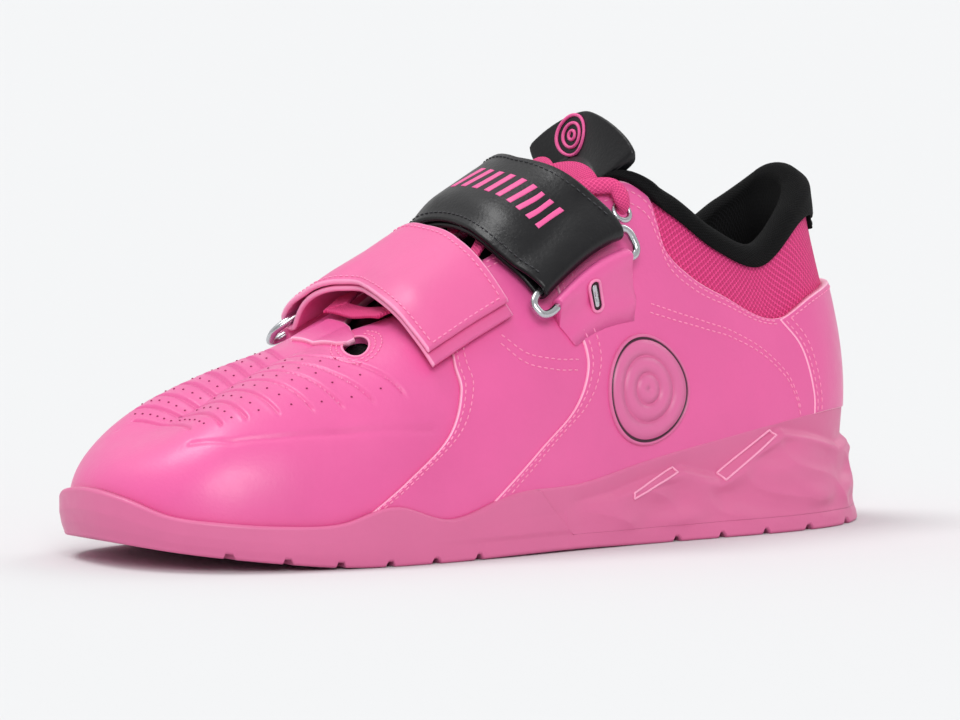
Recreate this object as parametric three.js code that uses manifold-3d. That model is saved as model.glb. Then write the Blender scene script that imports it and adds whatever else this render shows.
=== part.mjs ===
// A left weightlifting shoe: a hard wedge heel, a cup outsole, a low padded collar and two instep straps that
// each double back through a metal ring. Millimetres, +X towards the toe, +Y to the wearer's left (the outer
// side of a left shoe), +Z up. The origin is on the floor, under the middle of the shoe.
import * as THREE from "three";
import { mergeVertices } from "three/addons/utils/BufferGeometryUtils.js";
import Module from "manifold-3d";

const wasm = await Module();
wasm.setup();

// Driving dimensions of the last and the upper
const LAST_LENGTH = 280;
const BALL_WIDTH = 100;
const COLLAR_HEIGHT = 107;
const HEEL_RISE = 19;
const TOE_SPRING = 9;
const WALL = 2.2;
const GAP = 0.32;

// Driving dimensions of the sole
const FOREFOOT_SOLE = 8;
const HEEL_LIP = 3.5;
const TREAD_LAYER = 5;
const INSOLE_THICKNESS = 4;

// Driving dimensions of the straps and their rings
const STRAP_WIDTH = 28;
const STRAP_LAYER = 1.8;
const RING_REACH = 9.4;
const WIRE = 2.6;

// The last, a row for each place from the heel centre to the toe tip.
// x, lat, med: the feather line, as shares of LAST_LENGTH and BALL_WIDTH.
// rise, spring: how much of HEEL_RISE and TOE_SPRING lifts the feather line there.
// tx, tlat, tmed, tz: the top edge, or the ridge once both sides meet; tz is a share of COLLAR_HEIGHT.
// belly: outward swell low on the wall, a share of BALL_WIDTH.
// low, reach, drop: the wall's lower and upper pull.
const LAST_COLUMNS = [
  "x", "lat", "med", "rise", "spring", "tx", "tlat", "tmed", "tz", "belly", "low", "reach", "drop",
];
const LAST = [
  [0.0, 0.0, 0.0, 1.0, 0, 0.04, 0.0, 0.0, 1.0, 0.045, 0.4, 0.3, 0.33],
  [0.018, 0.165, 0.165, 1.0, 0, 0.05, 0.12, 0.12, 0.985, 0.045, 0.4, 0.3, 0.33],
  [0.07, 0.285, 0.27, 1.0, 0, 0.09, 0.21, 0.205, 0.915, 0.045, 0.4, 0.25, 0.33],
  [0.15, 0.335, 0.31, 0.97, 0, 0.155, 0.265, 0.255, 0.805, 0.04, 0.4, 0.25, 0.35],
  [0.245, 0.355, 0.315, 0.87, 0, 0.222, 0.285, 0.27, 0.86, 0.04, 0.4, 0.35, 0.3],
  [0.35, 0.385, 0.315, 0.66, 0, 0.28, 0.255, 0.24, 0.97, 0.035, 0.42, 0.45, 0.25],
  [0.45, 0.425, 0.34, 0.42, 0, 0.34, 0.19, 0.175, 1.05, 0.035, 0.45, 0.5, 0.22],
  [0.545, 0.465, 0.39, 0.2, 0, 0.425, 0.16, 0.17, 0.93, 0.035, 0.48, 0.5, 0.18],
  [0.635, 0.49, 0.445, 0.05, 0, 0.515, 0.14, 0.165, 0.81, 0.03, 0.5, 0.5, 0.14],
  [0.71, 0.495, 0.472, 0, 0, 0.6, 0.115, 0.145, 0.69, 0.03, 0.54, 0.52, 0.09],
  [0.775, 0.475, 0.48, 0, 0.05, 0.665, -0.02, 0.02, 0.61, 0.025, 0.6, 0.56, 0.02],
  [0.838, 0.43, 0.46, 0, 0.2, 0.74, -0.022, 0.022, 0.545, 0.02, 0.64, 0.6, 0],
  [0.895, 0.355, 0.41, 0, 0.36, 0.8, -0.026, 0.026, 0.478, 0.015, 0.66, 0.63, 0],
  [0.933, 0.255, 0.33, 0, 0.58, 0.835, -0.028, 0.028, 0.43, 0.012, 0.66, 0.6, 0.08],
  [0.958, 0.12, 0.21, 0, 0.84, 0.852, -0.036, 0.036, 0.41, 0.01, 0.62, 0.55, 0.2],
  [0.967, -0.042, 0.042, 0, 1.0, 0.858, -0.042, 0.042, 0.404, 0.01, 0.6, 0.52, 0.26],
].map((values) => Object.fromEntries(LAST_COLUMNS.map((name, k) => [name, values[k]])));
const TOE_ROW = LAST.length - 1;
const RIDGE_ROW = 10;
const EYESTAY_ROW = 6;

// Smooth curve through equally spaced values: p1 at t 0 and p2 at t 1.
function smooth(p0, p1, p2, p3, t) {
  const a = 2 * p1;
  const b = p2 - p0;
  const c = 2 * p0 - 5 * p1 + 4 * p2 - p3;
  const d = 3 * p1 - 3 * p2 + p3 - p0;
  return 0.5 * (a + b * t + c * t * t + d * t * t * t);
}

// A value of the table at a fractional row, on one side.
// The loop runs on past heel and toe to the other side.
function along(table, row, side, pick) {
  const last = table.length - 1;
  const i = Math.min(Math.floor(row), last - 1);
  const at = (k) => {
    if (k < 0) return pick(table[-k], -side);
    if (k > last) return pick(table[2 * last - k], -side);
    return pick(table[k], side);
  };
  return smooth(at(i - 1), at(i), at(i + 1), at(i + 2), row - i);
}

const halfWidth = (r, side) => (side > 0 ? r.lat : -r.med) * BALL_WIDTH;
const topHalfWidth = (r, side) => (side > 0 ? r.tlat : -r.tmed) * BALL_WIDTH;

function floorHeight(row, side) {
  return along(LAST, row, side, (r) => FOREFOOT_SOLE + r.rise * HEEL_RISE + r.spring * TOE_SPRING);
}

function basePoint(row, side) {
  const x = HEEL_LIP + along(LAST, row, side, (r) => r.x) * LAST_LENGTH;
  const y = along(LAST, row, side, halfWidth);
  return new THREE.Vector3(x, y, floorHeight(row, side));
}

function topPoint(row, side) {
  const x = HEEL_LIP + along(LAST, row, side, (r) => r.tx) * LAST_LENGTH;
  const z = along(LAST, row, side, (r) => r.tz) * COLLAR_HEIGHT;
  const own = along(LAST, row, side, topHalfWidth);
  const other = along(LAST, row, -side, topHalfWidth);
  return new THREE.Vector3(x, row < RIDGE_ROW ? own : (own + other) / 2, z);
}

// Unit vector in plan, out of the feather line.
function outward(row, side) {
  const step = 0.02;
  const a = row > step ? basePoint(row - step, side) : basePoint(step - row, -side);
  const b = row < TOE_ROW - step ? basePoint(row + step, side) : basePoint(2 * TOE_ROW - row - step, -side);
  return new THREE.Vector3(-(b.y - a.y) * side, (b.x - a.x) * side, 0).normalize();
}

// The outer skin of the upper: v runs from 0 at the feather line to 1 at the top edge or ridge.
function skin(row, side, v) {
  const base = basePoint(row, side);
  const top = topPoint(row, side);
  const rise = top.z - base.z;
  const shape = (key) => along(LAST, row, side, (r) => r[key]);
  const low = base.clone().addScaledVector(outward(row, side), shape("belly") * BALL_WIDTH);
  low.z += shape("low") * rise;
  const high = top.clone();
  high.x -= (top.x - base.x) * shape("reach");
  high.y -= (top.y - base.y) * shape("reach");
  high.z -= shape("drop") * rise;
  return new THREE.CubicBezierCurve3(base, low, high, top).getPoint(v);
}

function skinNormal(row, side, v) {
  const h = 0.02;
  const v0 = Math.max(0, v - h);
  const v1 = Math.min(1, v + h);
  const up = skin(row, side, v1).sub(skin(row, side, v0));
  const before = row > h ? skin(row - h, side, v) : skin(h - row, -side, v);
  const after = row < TOE_ROW - h ? skin(row + h, side, v) : skin(2 * TOE_ROW - row - h, -side, v);
  return after.sub(before).cross(up).multiplyScalar(-side).normalize();
}

const skinPoint = (row, side, v, out) => skin(row, side, v).addScaledVector(skinNormal(row, side, v), out);

// Closed mesh helpers
function solidFrom(geometry) {
  const bare = geometry.index ? geometry.toNonIndexed() : geometry.clone();
  bare.deleteAttribute("normal");
  bare.deleteAttribute("uv");
  const merged = mergeVertices(bare, 1e-4);
  const mesh = new wasm.Mesh({
    numProp: 3,
    vertProperties: merged.attributes.position.array,
    triVerts: new Uint32Array(merged.index.array),
  });
  const solid = new wasm.Manifold(mesh);
  if (solid.volume() > 0) return solid;
  const flipped = new Uint32Array(merged.index.array);
  for (let i = 0; i < flipped.length; i += 3) {
    [flipped[i + 1], flipped[i + 2]] = [flipped[i + 2], flipped[i + 1]];
  }
  mesh.triVerts = flipped;
  return new wasm.Manifold(mesh);
}

function geometryFrom(solid) {
  const mesh = solid.getMesh();
  const positions = new Float32Array(mesh.numVert * 3);
  for (let i = 0; i < mesh.numVert; i++) {
    positions.set(mesh.vertProperties.subarray(i * mesh.numProp, i * mesh.numProp + 3), i * 3);
  }
  const geometry = new THREE.BufferGeometry();
  geometry.setAttribute("position", new THREE.BufferAttribute(positions, 3));
  geometry.setIndex(new THREE.BufferAttribute(mesh.triVerts, 1));
  geometry.computeVertexNormals();
  return geometry;
}

// A closed solid from a grid of points, grid[i][j]. Each direction is closed into a loop or left open, and a
// grid that is open along i gets flat end caps across its loops.
function gridGeometry(grid, loopI, loopJ) {
  const points = [];
  const quad = (a, b, c, d) => points.push(a, b, c, a, c, d);
  const ni = grid.length;
  const nj = grid[0].length;
  for (let i = 0; i < (loopI ? ni : ni - 1); i++) {
    for (let j = 0; j < (loopJ ? nj : nj - 1); j++) {
      const i1 = (i + 1) % ni;
      const j1 = (j + 1) % nj;
      quad(grid[i][j], grid[i1][j], grid[i1][j1], grid[i][j1]);
    }
  }
  if (!loopI && loopJ) {
    for (const [ring, turned] of [[grid[0], true], [grid[ni - 1], false]]) {
      for (const [a, b, c] of capTriangles(ring)) {
        if (turned) points.push(ring[a], ring[b], ring[c]);
        else points.push(ring[a], ring[c], ring[b]);
      }
    }
  }
  return new THREE.BufferGeometry().setFromPoints(points);
}

// Triangles over a nearly flat loop of points in space.
function capTriangles(ring) {
  const normal = new THREE.Vector3();
  ring.forEach((p, k) => normal.add(p.clone().cross(ring[(k + 1) % ring.length])));
  normal.normalize();
  const first = ring[1].clone().sub(ring[0]).projectOnPlane(normal).normalize();
  const second = normal.clone().cross(first);
  const flat = ring.map((p) => new THREE.Vector2(p.dot(first), p.dot(second)));
  return THREE.ShapeUtils.triangulateShape(flat, []);
}

// Fractional rows from the heel centre round one side to the toe tip and back along the other.
function loopStations(steps) {
  const stations = [];
  for (let k = 0; k < steps; k++) stations.push({ row: (k / steps) * TOE_ROW, side: 1 });
  for (let k = steps; k > 0; k--) stations.push({ row: (k / steps) * TOE_ROW, side: -1 });
  return stations;
}

// A strip of quads that closes a loop of stations across the shoe, from one side to the other.
function acrossCap(loop, steps, facingUp) {
  const points = [];
  const near = (k) => loop[k];
  const far = (k) => loop[k === 0 || k === steps ? k : 2 * steps - k];
  for (let k = 0; k < steps; k++) {
    const quad = [near(k), near(k + 1), far(k + 1), far(k)];
    if (!facingUp) quad.reverse();
    const [a, b, c, d] = quad;
    if (!a.equals(d)) points.push(a, c, d);
    if (!b.equals(c)) points.push(a, b, c);
  }
  return points;
}

// The upper: one wall, open along the throat and collar and underneath.
const UPPER_STEPS = 2 * TOE_ROW;
const UPPER_LIFTS = 10;

const COLLAR_WALL = 0.6;

function wallAt(row, v) {
  const collar = THREE.MathUtils.smoothstep(EYESTAY_ROW - row, -0.5, 1.5);
  return WALL + COLLAR_WALL * collar * v;
}

function upperSurface(out) {
  return loopStations(UPPER_STEPS).map(({ row, side }) => {
    const column = [];
    for (let k = 0; k <= UPPER_LIFTS; k++) {
      const v = k / UPPER_LIFTS;
      column.push(skinPoint(row, side, v, out(row, v)));
    }
    if (row >= RIDGE_ROW) {
      const ridge = column[UPPER_LIFTS];
      const twin = skinPoint(row, -side, 1, out(row, 1));
      ridge.add(twin).multiplyScalar(0.5);
    }
    return column;
  });
}

function upperWall() {
  const outer = upperSurface(() => 0);
  const inner = upperSurface((row, v) => -wallAt(row, v));
  const stations = loopStations(UPPER_STEPS);
  const count = stations.length;
  const points = [];
  const quad = (a, b, c, d) => points.push(a, b, c, a, c, d);
  const closed = (i) => stations[i].row >= RIDGE_ROW - 1e-9;
  for (let i = 0; i < count; i++) {
    const n = (i + 1) % count;
    for (let j = 0; j < UPPER_LIFTS; j++) {
      quad(outer[i][j], outer[n][j], outer[n][j + 1], outer[i][j + 1]);
      quad(inner[i][j + 1], inner[n][j + 1], inner[n][j], inner[i][j]);
    }
    quad(inner[i][0], inner[n][0], outer[n][0], outer[i][0]);
    if (!(closed(i) && closed(n))) {
      quad(outer[i][UPPER_LIFTS], outer[n][UPPER_LIFTS], inner[n][UPPER_LIFTS], inner[i][UPPER_LIFTS]);
    }
  }
  return solidFrom(new THREE.BufferGeometry().setFromPoints(points));
}

// The round front end of the throat, cut through the wall beside the ridge.
const KEYHOLE = { row: 9.75, v: 0.91, radius: 3.8 };

function keyholeCut() {
  const { row, v, radius } = KEYHOLE;
  const centre = skin(row, 1, v);
  const normal = skinNormal(row, 1, v);
  const first = new THREE.Vector3(0, 1, 0).projectOnPlane(normal).normalize();
  const second = normal.clone().cross(first);
  const ring = (out) =>
    Array.from({ length: 14 }, (_, k) => {
      const angle = (k / 14) * 2 * Math.PI;
      const p = centre.clone().addScaledVector(normal, out);
      p.addScaledVector(first, radius * Math.cos(angle));
      return p.addScaledVector(second, radius * Math.sin(angle));
    });
  return solidFrom(gridGeometry([ring(-2 * WALL), ring(2 * WALL)], false, true));
}

// The whole foot form, closed across the top and bottom, to cut the sole's tray.
function filledUpper(grow) {
  const outer = upperSurface(() => grow);
  for (const column of outer) column[0].z -= grow;
  const count = outer.length;
  const points = [];
  for (let i = 0; i < count; i++) {
    const n = (i + 1) % count;
    for (let j = 0; j < UPPER_LIFTS; j++) {
      points.push(outer[i][j], outer[n][j], outer[n][j + 1], outer[i][j], outer[n][j + 1], outer[i][j + 1]);
    }
  }
  points.push(...acrossCap(outer.map((c) => c[0]), UPPER_STEPS, false));
  points.push(...acrossCap(outer.map((c) => c[UPPER_LIFTS]), UPPER_STEPS, true));
  return solidFrom(new THREE.BufferGeometry().setFromPoints(points));
}

// The sole, a row for each row of the last, in millimetres.
// edge: height of the cup's top edge. flare: how far the bottom edge stands out from the feather line.
// lift: height of the bottom edge, off the floor at the waist and the toe.
const SOLE = [
  { edge: 37.5, flare: 8.5, lift: 0 },
  { edge: 37.5, flare: 8.2, lift: 0 },
  { edge: 37.8, flare: 8.2, lift: 0 },
  { edge: 35.2, flare: 9.2, lift: 0 },
  { edge: 30.7, flare: 8.6, lift: 0 },
  { edge: 25.8, flare: 6.6, lift: 0 },
  { edge: 20.6, flare: 5.2, lift: 0.5 },
  { edge: 19.6, flare: 4.4, lift: 0.4 },
  { edge: 13.2, flare: 3.6, lift: 0 },
  { edge: 18.1, flare: 2.8, lift: 0 },
  { edge: 13.8, flare: 2.0, lift: 0.6 },
  { edge: 13.8, flare: 1.8, lift: 2.4 },
  { edge: 15.2, flare: 1.6, lift: 4.4 },
  { edge: 17.0, flare: 1.5, lift: 6.0 },
  { edge: 21.6, flare: 1.4, lift: 7.4 },
  { edge: 23.6, flare: 1.4, lift: 8.2 },
];
const SOLE_STEPS = 4 * TOE_ROW;
const LIP = 3;
const BAND = 0.7;
const EDGE_ROUND = 1;
const RELIEF = 2.2;
const RELIEF_FRONT = 6.25;

// The skyline of the relief on the side of the heel: row and height.
const SKYLINE = [
  [0, 24.5],
  [1, 26],
  [1.75, 24.5],
  [2.5, 29],
  [3, 31],
  [4, 18.2],
  [4.5, 21.6],
  [5.5, 15.2],
  [6.25, 14],
];

const soleEdge = (row, side) => along(SOLE, row, side, (r) => r.edge);

function skylineAt(row) {
  let k = 1;
  while (k < SKYLINE.length - 1 && row > SKYLINE[k][0]) k += 1;
  const [r0, h0] = SKYLINE[k - 1];
  const [r1, h1] = SKYLINE[k];
  return THREE.MathUtils.lerp(h0, h1, Math.min(1, (row - r0) / (r1 - r0)));
}

// One station of the sole's side, from the bottom edge to the top of the cup's lip.
function soleColumn(row, side) {
  const base = basePoint(row, side);
  const out = outward(row, side);
  const edge = soleEdge(row, side);
  const flare = along(SOLE, row, side, (r) => r.flare);
  const lift = Math.max(0, along(SOLE, row, side, (r) => r.lift));
  const carved = row < RELIEF_FRONT ? 1 : 0;
  const sky = carved ? Math.min(skylineAt(row), edge - 4) : lift + 0.6 * (edge - lift);
  const depth = carved * RELIEF * THREE.MathUtils.smoothstep(RELIEF_FRONT - row, 0, 1);
  const inset = LIP - BAND * carved;
  const level = (offset, z) => base.clone().addScaledVector(out, offset).setZ(z);
  return [
    level(flare - EDGE_ROUND, lift),
    level(flare, lift + EDGE_ROUND),
    level(0.4 * flare + 0.6 * (inset + depth), lift + 0.5 * (sky - lift)),
    level(inset + depth, sky - 0.4),
    level(inset, sky + 0.6 + 0.5 * depth),
    level(LIP, edge - EDGE_ROUND),
    level(LIP - EDGE_ROUND, edge),
  ];
}

function soleForm() {
  const columns = loopStations(SOLE_STEPS).map(({ row, side }) => soleColumn(row, side));
  const levels = columns[0].length;
  const count = columns.length;
  const points = [];
  for (let i = 0; i < count; i++) {
    const n = (i + 1) % count;
    for (let j = 0; j < levels - 1; j++) {
      points.push(columns[i][j], columns[n][j], columns[n][j + 1]);
      points.push(columns[i][j], columns[n][j + 1], columns[i][j + 1]);
    }
  }
  points.push(...acrossCap(columns.map((c) => c[0]), SOLE_STEPS, false));
  points.push(...acrossCap(columns.map((c) => c[levels - 1]), SOLE_STEPS, true));
  return solidFrom(new THREE.BufferGeometry().setFromPoints(points));
}

// A block across the whole shoe with the given outline of [x, z] points.
function crossBlock(outline) {
  const reach = BALL_WIDTH;
  const ring = (y) => outline.map(([x, z]) => new THREE.Vector3(x, y, z));
  return solidFrom(gridGeometry([ring(-reach), ring(reach)], false, true));
}

// The seam between the heel wedge and the outsole, grown towards the outsole.
const SEAM_TOP = [153, 26];
const SEAM_BOTTOM = [134, TREAD_LAYER];

function wedgeRegion(grow) {
  const low = TREAD_LAYER - grow;
  const back = -LAST_LENGTH / 10;
  const top = COLLAR_HEIGHT;
  return crossBlock([
    [back, low],
    [SEAM_BOTTOM[0] + grow, low],
    [SEAM_TOP[0] + grow, SEAM_TOP[1]],
    [SEAM_TOP[0] + grow, top],
    [back, top],
  ]);
}

// Grooves across the tread leave the lugs between them; each is an x and the same width and depth.
const GROOVES = [20, 38, 56, 74, 92, 172, 188, 204, 220, 236, 252];
const GROOVE_WIDTH = 2.4;
const GROOVE_DEPTH = 1.6;

function treadGrooves() {
  const half = GROOVE_WIDTH / 2;
  const cuts = GROOVES.map((x) => {
    const row = LAST.findIndex((r) => HEEL_LIP + r.x * LAST_LENGTH > x);
    const floor = Math.max(0, along(SOLE, row, 1, (r) => r.lift)) + GROOVE_DEPTH;
    return crossBlock([
      [x - half, -GROOVE_DEPTH],
      [x + half, -GROOVE_DEPTH],
      [x + half, floor],
      [x - half, floor],
    ]);
  });
  return wasm.Manifold.union(cuts);
}

// The insole fills the bottom of the upper.
function insoleSolid() {
  const stations = loopStations(UPPER_STEPS);
  const ring = (inset, lift) =>
    stations.map(({ row, side }) => {
      const p = basePoint(row, side).addScaledVector(outward(row, side), -inset);
      p.z += lift;
      return p;
    });
  const inset = WALL + 2 * GAP;
  const bottom = ring(inset, 0);
  const top = ring(inset + GAP, INSOLE_THICKNESS);
  const count = bottom.length;
  const points = [];
  for (let i = 0; i < count; i++) {
    const n = (i + 1) % count;
    points.push(bottom[i], bottom[n], top[n], bottom[i], top[n], top[i]);
  }
  points.push(...acrossCap(bottom, UPPER_STEPS, false));
  points.push(...acrossCap(top, UPPER_STEPS, true));
  return solidFrom(new THREE.BufferGeometry().setFromPoints(points));
}

// A thin closed piece between two grids of points of the same size.
function slab(top, bottom) {
  const points = [];
  const quad = (a, b, c, d) => points.push(a, b, c, a, c, d);
  const ni = top.length - 1;
  const nj = top[0].length - 1;
  for (let i = 0; i < ni; i++) {
    for (let j = 0; j < nj; j++) {
      quad(top[i][j], top[i + 1][j], top[i + 1][j + 1], top[i][j + 1]);
      quad(bottom[i][j + 1], bottom[i + 1][j + 1], bottom[i + 1][j], bottom[i][j]);
    }
    quad(bottom[i][0], bottom[i + 1][0], top[i + 1][0], top[i][0]);
    quad(top[i][nj], top[i + 1][nj], bottom[i + 1][nj], bottom[i][nj]);
  }
  for (let j = 0; j < nj; j++) {
    quad(top[0][j], top[0][j + 1], bottom[0][j + 1], bottom[0][j]);
    quad(bottom[ni][j], bottom[ni][j + 1], top[ni][j + 1], top[ni][j]);
  }
  return solidFrom(new THREE.BufferGeometry().setFromPoints(points));
}

// Panels laid on the upper. Rows below 0 run round the heel to the other side.
const PANEL_LOW = 0.8;
const MID_TOP = 1.5;
const QUARTER_TOP = 1.9;
const PANEL_EDGE = 0.03;

// The lift at which the skin clears the sole's lip.
function rimLift(row, side) {
  const at = Math.abs(row);
  const own = row < 0 ? -side : side;
  const target = soleEdge(at, own) + 2 * GAP;
  let low = 0;
  let high = 0.6;
  for (let k = 0; k < 24; k++) {
    const middle = (low + high) / 2;
    if (skin(at, own, middle).z < target) low = middle;
    else high = middle;
  }
  return high;
}

// A point along a chain of [row, lift] stops, t from 0 to 1 over equal steps between the stops.
function alongStops(stops, t) {
  const place = t * (stops.length - 1);
  const k = Math.min(stops.length - 2, Math.floor(place));
  const part = place - k;
  return [
    THREE.MathUtils.lerp(stops[k][0], stops[k + 1][0], part),
    THREE.MathUtils.lerp(stops[k][1], stops[k + 1][1], part),
  ];
}

// The blend of four boundary chains that share their corners.
function blend({ bottom, top, front, rear }, s, t) {
  const b = alongStops(bottom, s);
  const u = alongStops(top, s);
  const f = alongStops(front, t);
  const r = alongStops(rear, t);
  const corner = [front[0], rear[0], front[front.length - 1], rear[rear.length - 1]];
  return [0, 1].map((k) => {
    const edges = (1 - t) * b[k] + t * u[k] + (1 - s) * f[k] + s * r[k];
    const low = (1 - s) * corner[0][k] + s * corner[1][k];
    const high = (1 - s) * corner[2][k] + s * corner[3][k];
    return edges - (1 - t) * low - t * high;
  });
}

function panelSolid(chains, side, across, up, thickness) {
  const grid = (out) => {
    const rows = [];
    for (let i = 0; i <= across; i++) {
      const column = [];
      for (let j = 0; j <= up; j++) {
        const [row, v] = blend(chains, i / across, j / up);
        column.push(skinPoint(row, side, v, out));
      }
      rows.push(column);
    }
    return rows;
  };
  return slab(grid(thickness), grid(PANEL_LOW));
}

// The sole's rim as a chain of stops between two rows.
function rimChain(from, to, side, steps) {
  const stops = [];
  for (let k = 0; k <= steps; k++) {
    const row = THREE.MathUtils.lerp(from, to, k / steps);
    stops.push([row, rimLift(row, side)]);
  }
  return stops;
}

// Seams as [row, lift] stops from the sole's rim upwards; the first lift is the rim itself.
const VAMP_SEAM = [
  [9.5, 0],
  [8.75, 0.17],
  [8.1, 0.27],
  [7.95, 0.4],
  [8.1, 0.52],
  [8.3, 0.76],
  [8.5, 0.97],
];
const QUARTER_SEAM = [
  [7.43, 0],
  [6.67, 0.15],
  [6.18, 0.22],
  [6.0, 0.31],
  [6.08, 0.4],
  [6.45, 0.53],
  [6.75, 0.74],
  [6.9, 0.96],
];
const COUNTER_SEAM = [
  [2.35, 0],
  [2.36, 0.22],
  [2.5, 0.45],
  [2.8, 0.64],
];
const MESH_LINE = [
  [6.9, 0.96],
  [6.1, 0.975],
  [5.45, 0.975],
  [5.2, 0.9],
  [4.95, 0.79],
  [4.5, 0.745],
  [3.75, 0.725],
  [2.8, 0.64],
];
const HEEL_LINE = [
  [2.8, 0.64],
  [1.9, 0.63],
  [1, 0.61],
  [0, 0.6],
  [-1, 0.61],
  [-1.9, 0.63],
  [-2.8, 0.64],
];

function fromRim(seam, side, shift) {
  const start = seam[0][0] + shift;
  return [[start, rimLift(start, side)], ...seam.slice(1).map(([row, v]) => [row + shift, v])];
}

function midPanel(side) {
  const front = fromRim(VAMP_SEAM, side, 0);
  const rear = fromRim(QUARTER_SEAM, side, PANEL_EDGE);
  const bottom = rimChain(front[0][0], rear[0][0], side, 6);
  const top = [front[front.length - 1], rear[rear.length - 1]];
  return panelSolid({ bottom, top, front, rear }, side, 6, 9, MID_TOP);
}

function quarterPanel(side) {
  const front = fromRim(QUARTER_SEAM, side, -PANEL_EDGE);
  const rear = fromRim(COUNTER_SEAM, side, PANEL_EDGE);
  const bottom = rimChain(front[0][0], rear[0][0], side, 10);
  const top = MESH_LINE.map(([row, v], k) => (k === 0 ? [row - PANEL_EDGE, v] : [row, v]));
  top[top.length - 1] = rear[rear.length - 1];
  return panelSolid({ bottom, top, front, rear }, side, 14, 8, QUARTER_TOP);
}

function heelCounter() {
  const front = fromRim(COUNTER_SEAM, 1, -PANEL_EDGE);
  const rear = fromRim(COUNTER_SEAM, -1, -PANEL_EDGE).map(([row, v]) => [-row, v]);
  const bottom = rimChain(front[0][0], rear[0][0], 1, 12);
  const top = HEEL_LINE.map(([row, v]) => [row, v]);
  top[0] = front[front.length - 1];
  top[top.length - 1] = rear[rear.length - 1];
  return panelSolid({ bottom, top, front, rear }, 1, 14, 4, QUARTER_TOP);
}

// The tab over the back of the collar
const TAB_ROWS = 1.1;
const TAB_LOW = 0.8;

function heelTab() {
  const front = [[TAB_ROWS, TAB_LOW + 0.05], [TAB_ROWS, 0.98]];
  const rear = [[-TAB_ROWS, TAB_LOW + 0.05], [-TAB_ROWS, 0.98]];
  const bottom = [front[0], [0, TAB_LOW], rear[0]];
  const top = [front[1], rear[1]];
  return panelSolid({ bottom, top, front, rear }, 1, 8, 2, QUARTER_TOP + GAP);
}

// The padded lining of the collar: it rolls over the top edge and hangs down inside the wall.
const LINING_ROW = 5.5;
const LINING_LEVELS = 4;
const LINING_HEIGHT = 4.6;
const HEEL_PAD = 3.4;
const LINING_PAD = [4.2, 6.4, 7.2, 6.2, 4.4];
const ROLL = [
  [0.9, 0.1],
  [1.1, 0.45],
  [0.3, 0.8],
  [-1.6, 1.0],
  [-4.2, 0.95],
  [-6.4, 0.6],
];

function liningProfile(row) {
  const side = row < 0 ? -1 : 1;
  const at = Math.abs(row);
  const top = skin(at, side, 1);
  const up = top.clone().sub(skin(at, side, 1 - 1 / UPPER_LIFTS)).normalize();
  const normal = skinNormal(at, side, 1);
  const height = LINING_HEIGHT + HEEL_PAD * THREE.MathUtils.smoothstep(2 - at, 0, 2);
  const contact = (v) => -wallAt(at, v) - GAP;
  const points = [];
  for (let k = LINING_LEVELS; k >= 0; k--) {
    const v = 1 - k / UPPER_LIFTS;
    const p = skinPoint(at, side, v, contact(v));
    if (k === 0) p.addScaledVector(up, GAP);
    points.push(p);
  }
  for (const [out, share] of ROLL) {
    points.push(top.clone().addScaledVector(normal, out).addScaledVector(up, GAP + share * height));
  }
  for (let k = 0; k <= LINING_LEVELS; k++) {
    const v = 1 - k / UPPER_LIFTS;
    points.push(skinPoint(at, side, v, contact(v) - LINING_PAD[k]));
  }
  return points;
}

function collarLining() {
  const loops = [];
  for (let row = LINING_ROW; row >= -LINING_ROW; row -= 0.5) loops.push(liningProfile(row));
  return solidFrom(gridGeometry(loops, false, true));
}

// The line over the instep at one row: the outer wall, a bridge over the throat and the inner wall.
const ARCH_STEPS = 16;
const BRIDGE_STEPS = 8;
const BRIDGE_PULL = 0.5;
const archLines = new Map();

function archLine(row) {
  const key = row.toFixed(4);
  if (archLines.has(key)) return archLines.get(key);
  const wall = (side) => Array.from({ length: ARCH_STEPS + 1 }, (_, k) => skin(row, side, k / ARCH_STEPS));
  const outer = wall(1);
  const inner = wall(-1).reverse();
  const a = outer[ARCH_STEPS];
  const b = inner[0];
  const gap = a.distanceTo(b);
  const rise = a.clone().sub(outer[ARCH_STEPS - 1]).setLength(gap * BRIDGE_PULL);
  const fall = b.clone().sub(inner[1]).setLength(gap * BRIDGE_PULL);
  const bridge = new THREE.CubicBezierCurve3(a, a.clone().add(rise), b.clone().add(fall), b);
  const over = gap > 1 ? bridge.getPoints(BRIDGE_STEPS).slice(1, -1) : [];
  const points = [...outer, ...over, ...(gap > 1 ? inner : inner.slice(1))];
  const lengths = [0];
  for (let k = 1; k < points.length; k++) lengths.push(lengths[k - 1] + points[k].distanceTo(points[k - 1]));
  const start = lengths[ARCH_STEPS];
  const end = lengths[lengths.length - 1 - ARCH_STEPS];
  const line = { points, lengths, middle: (start + end) / 2, halfGap: (end - start) / 2 };
  archLines.set(key, line);
  return line;
}

// A point on that line at the arc distance `a` from its middle, positive towards the outer side.
function archAt(row, a) {
  const { points, lengths, middle } = archLine(row);
  const place = middle - a;
  let k = 1;
  while (k < lengths.length - 1 && lengths[k] < place) k += 1;
  const part = (place - lengths[k - 1]) / (lengths[k] - lengths[k - 1]);
  return points[k - 1].clone().lerp(points[k], part);
}

function archPoint(row, a, out) {
  const h = 0.05;
  const w = 1.5;
  const forward = archAt(row + h, a).sub(archAt(row - h, a));
  const sideways = archAt(row, a + w).sub(archAt(row, a - w));
  const normal = forward.cross(sideways).normalize();
  return archAt(row, a).addScaledVector(normal, out);
}

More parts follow.
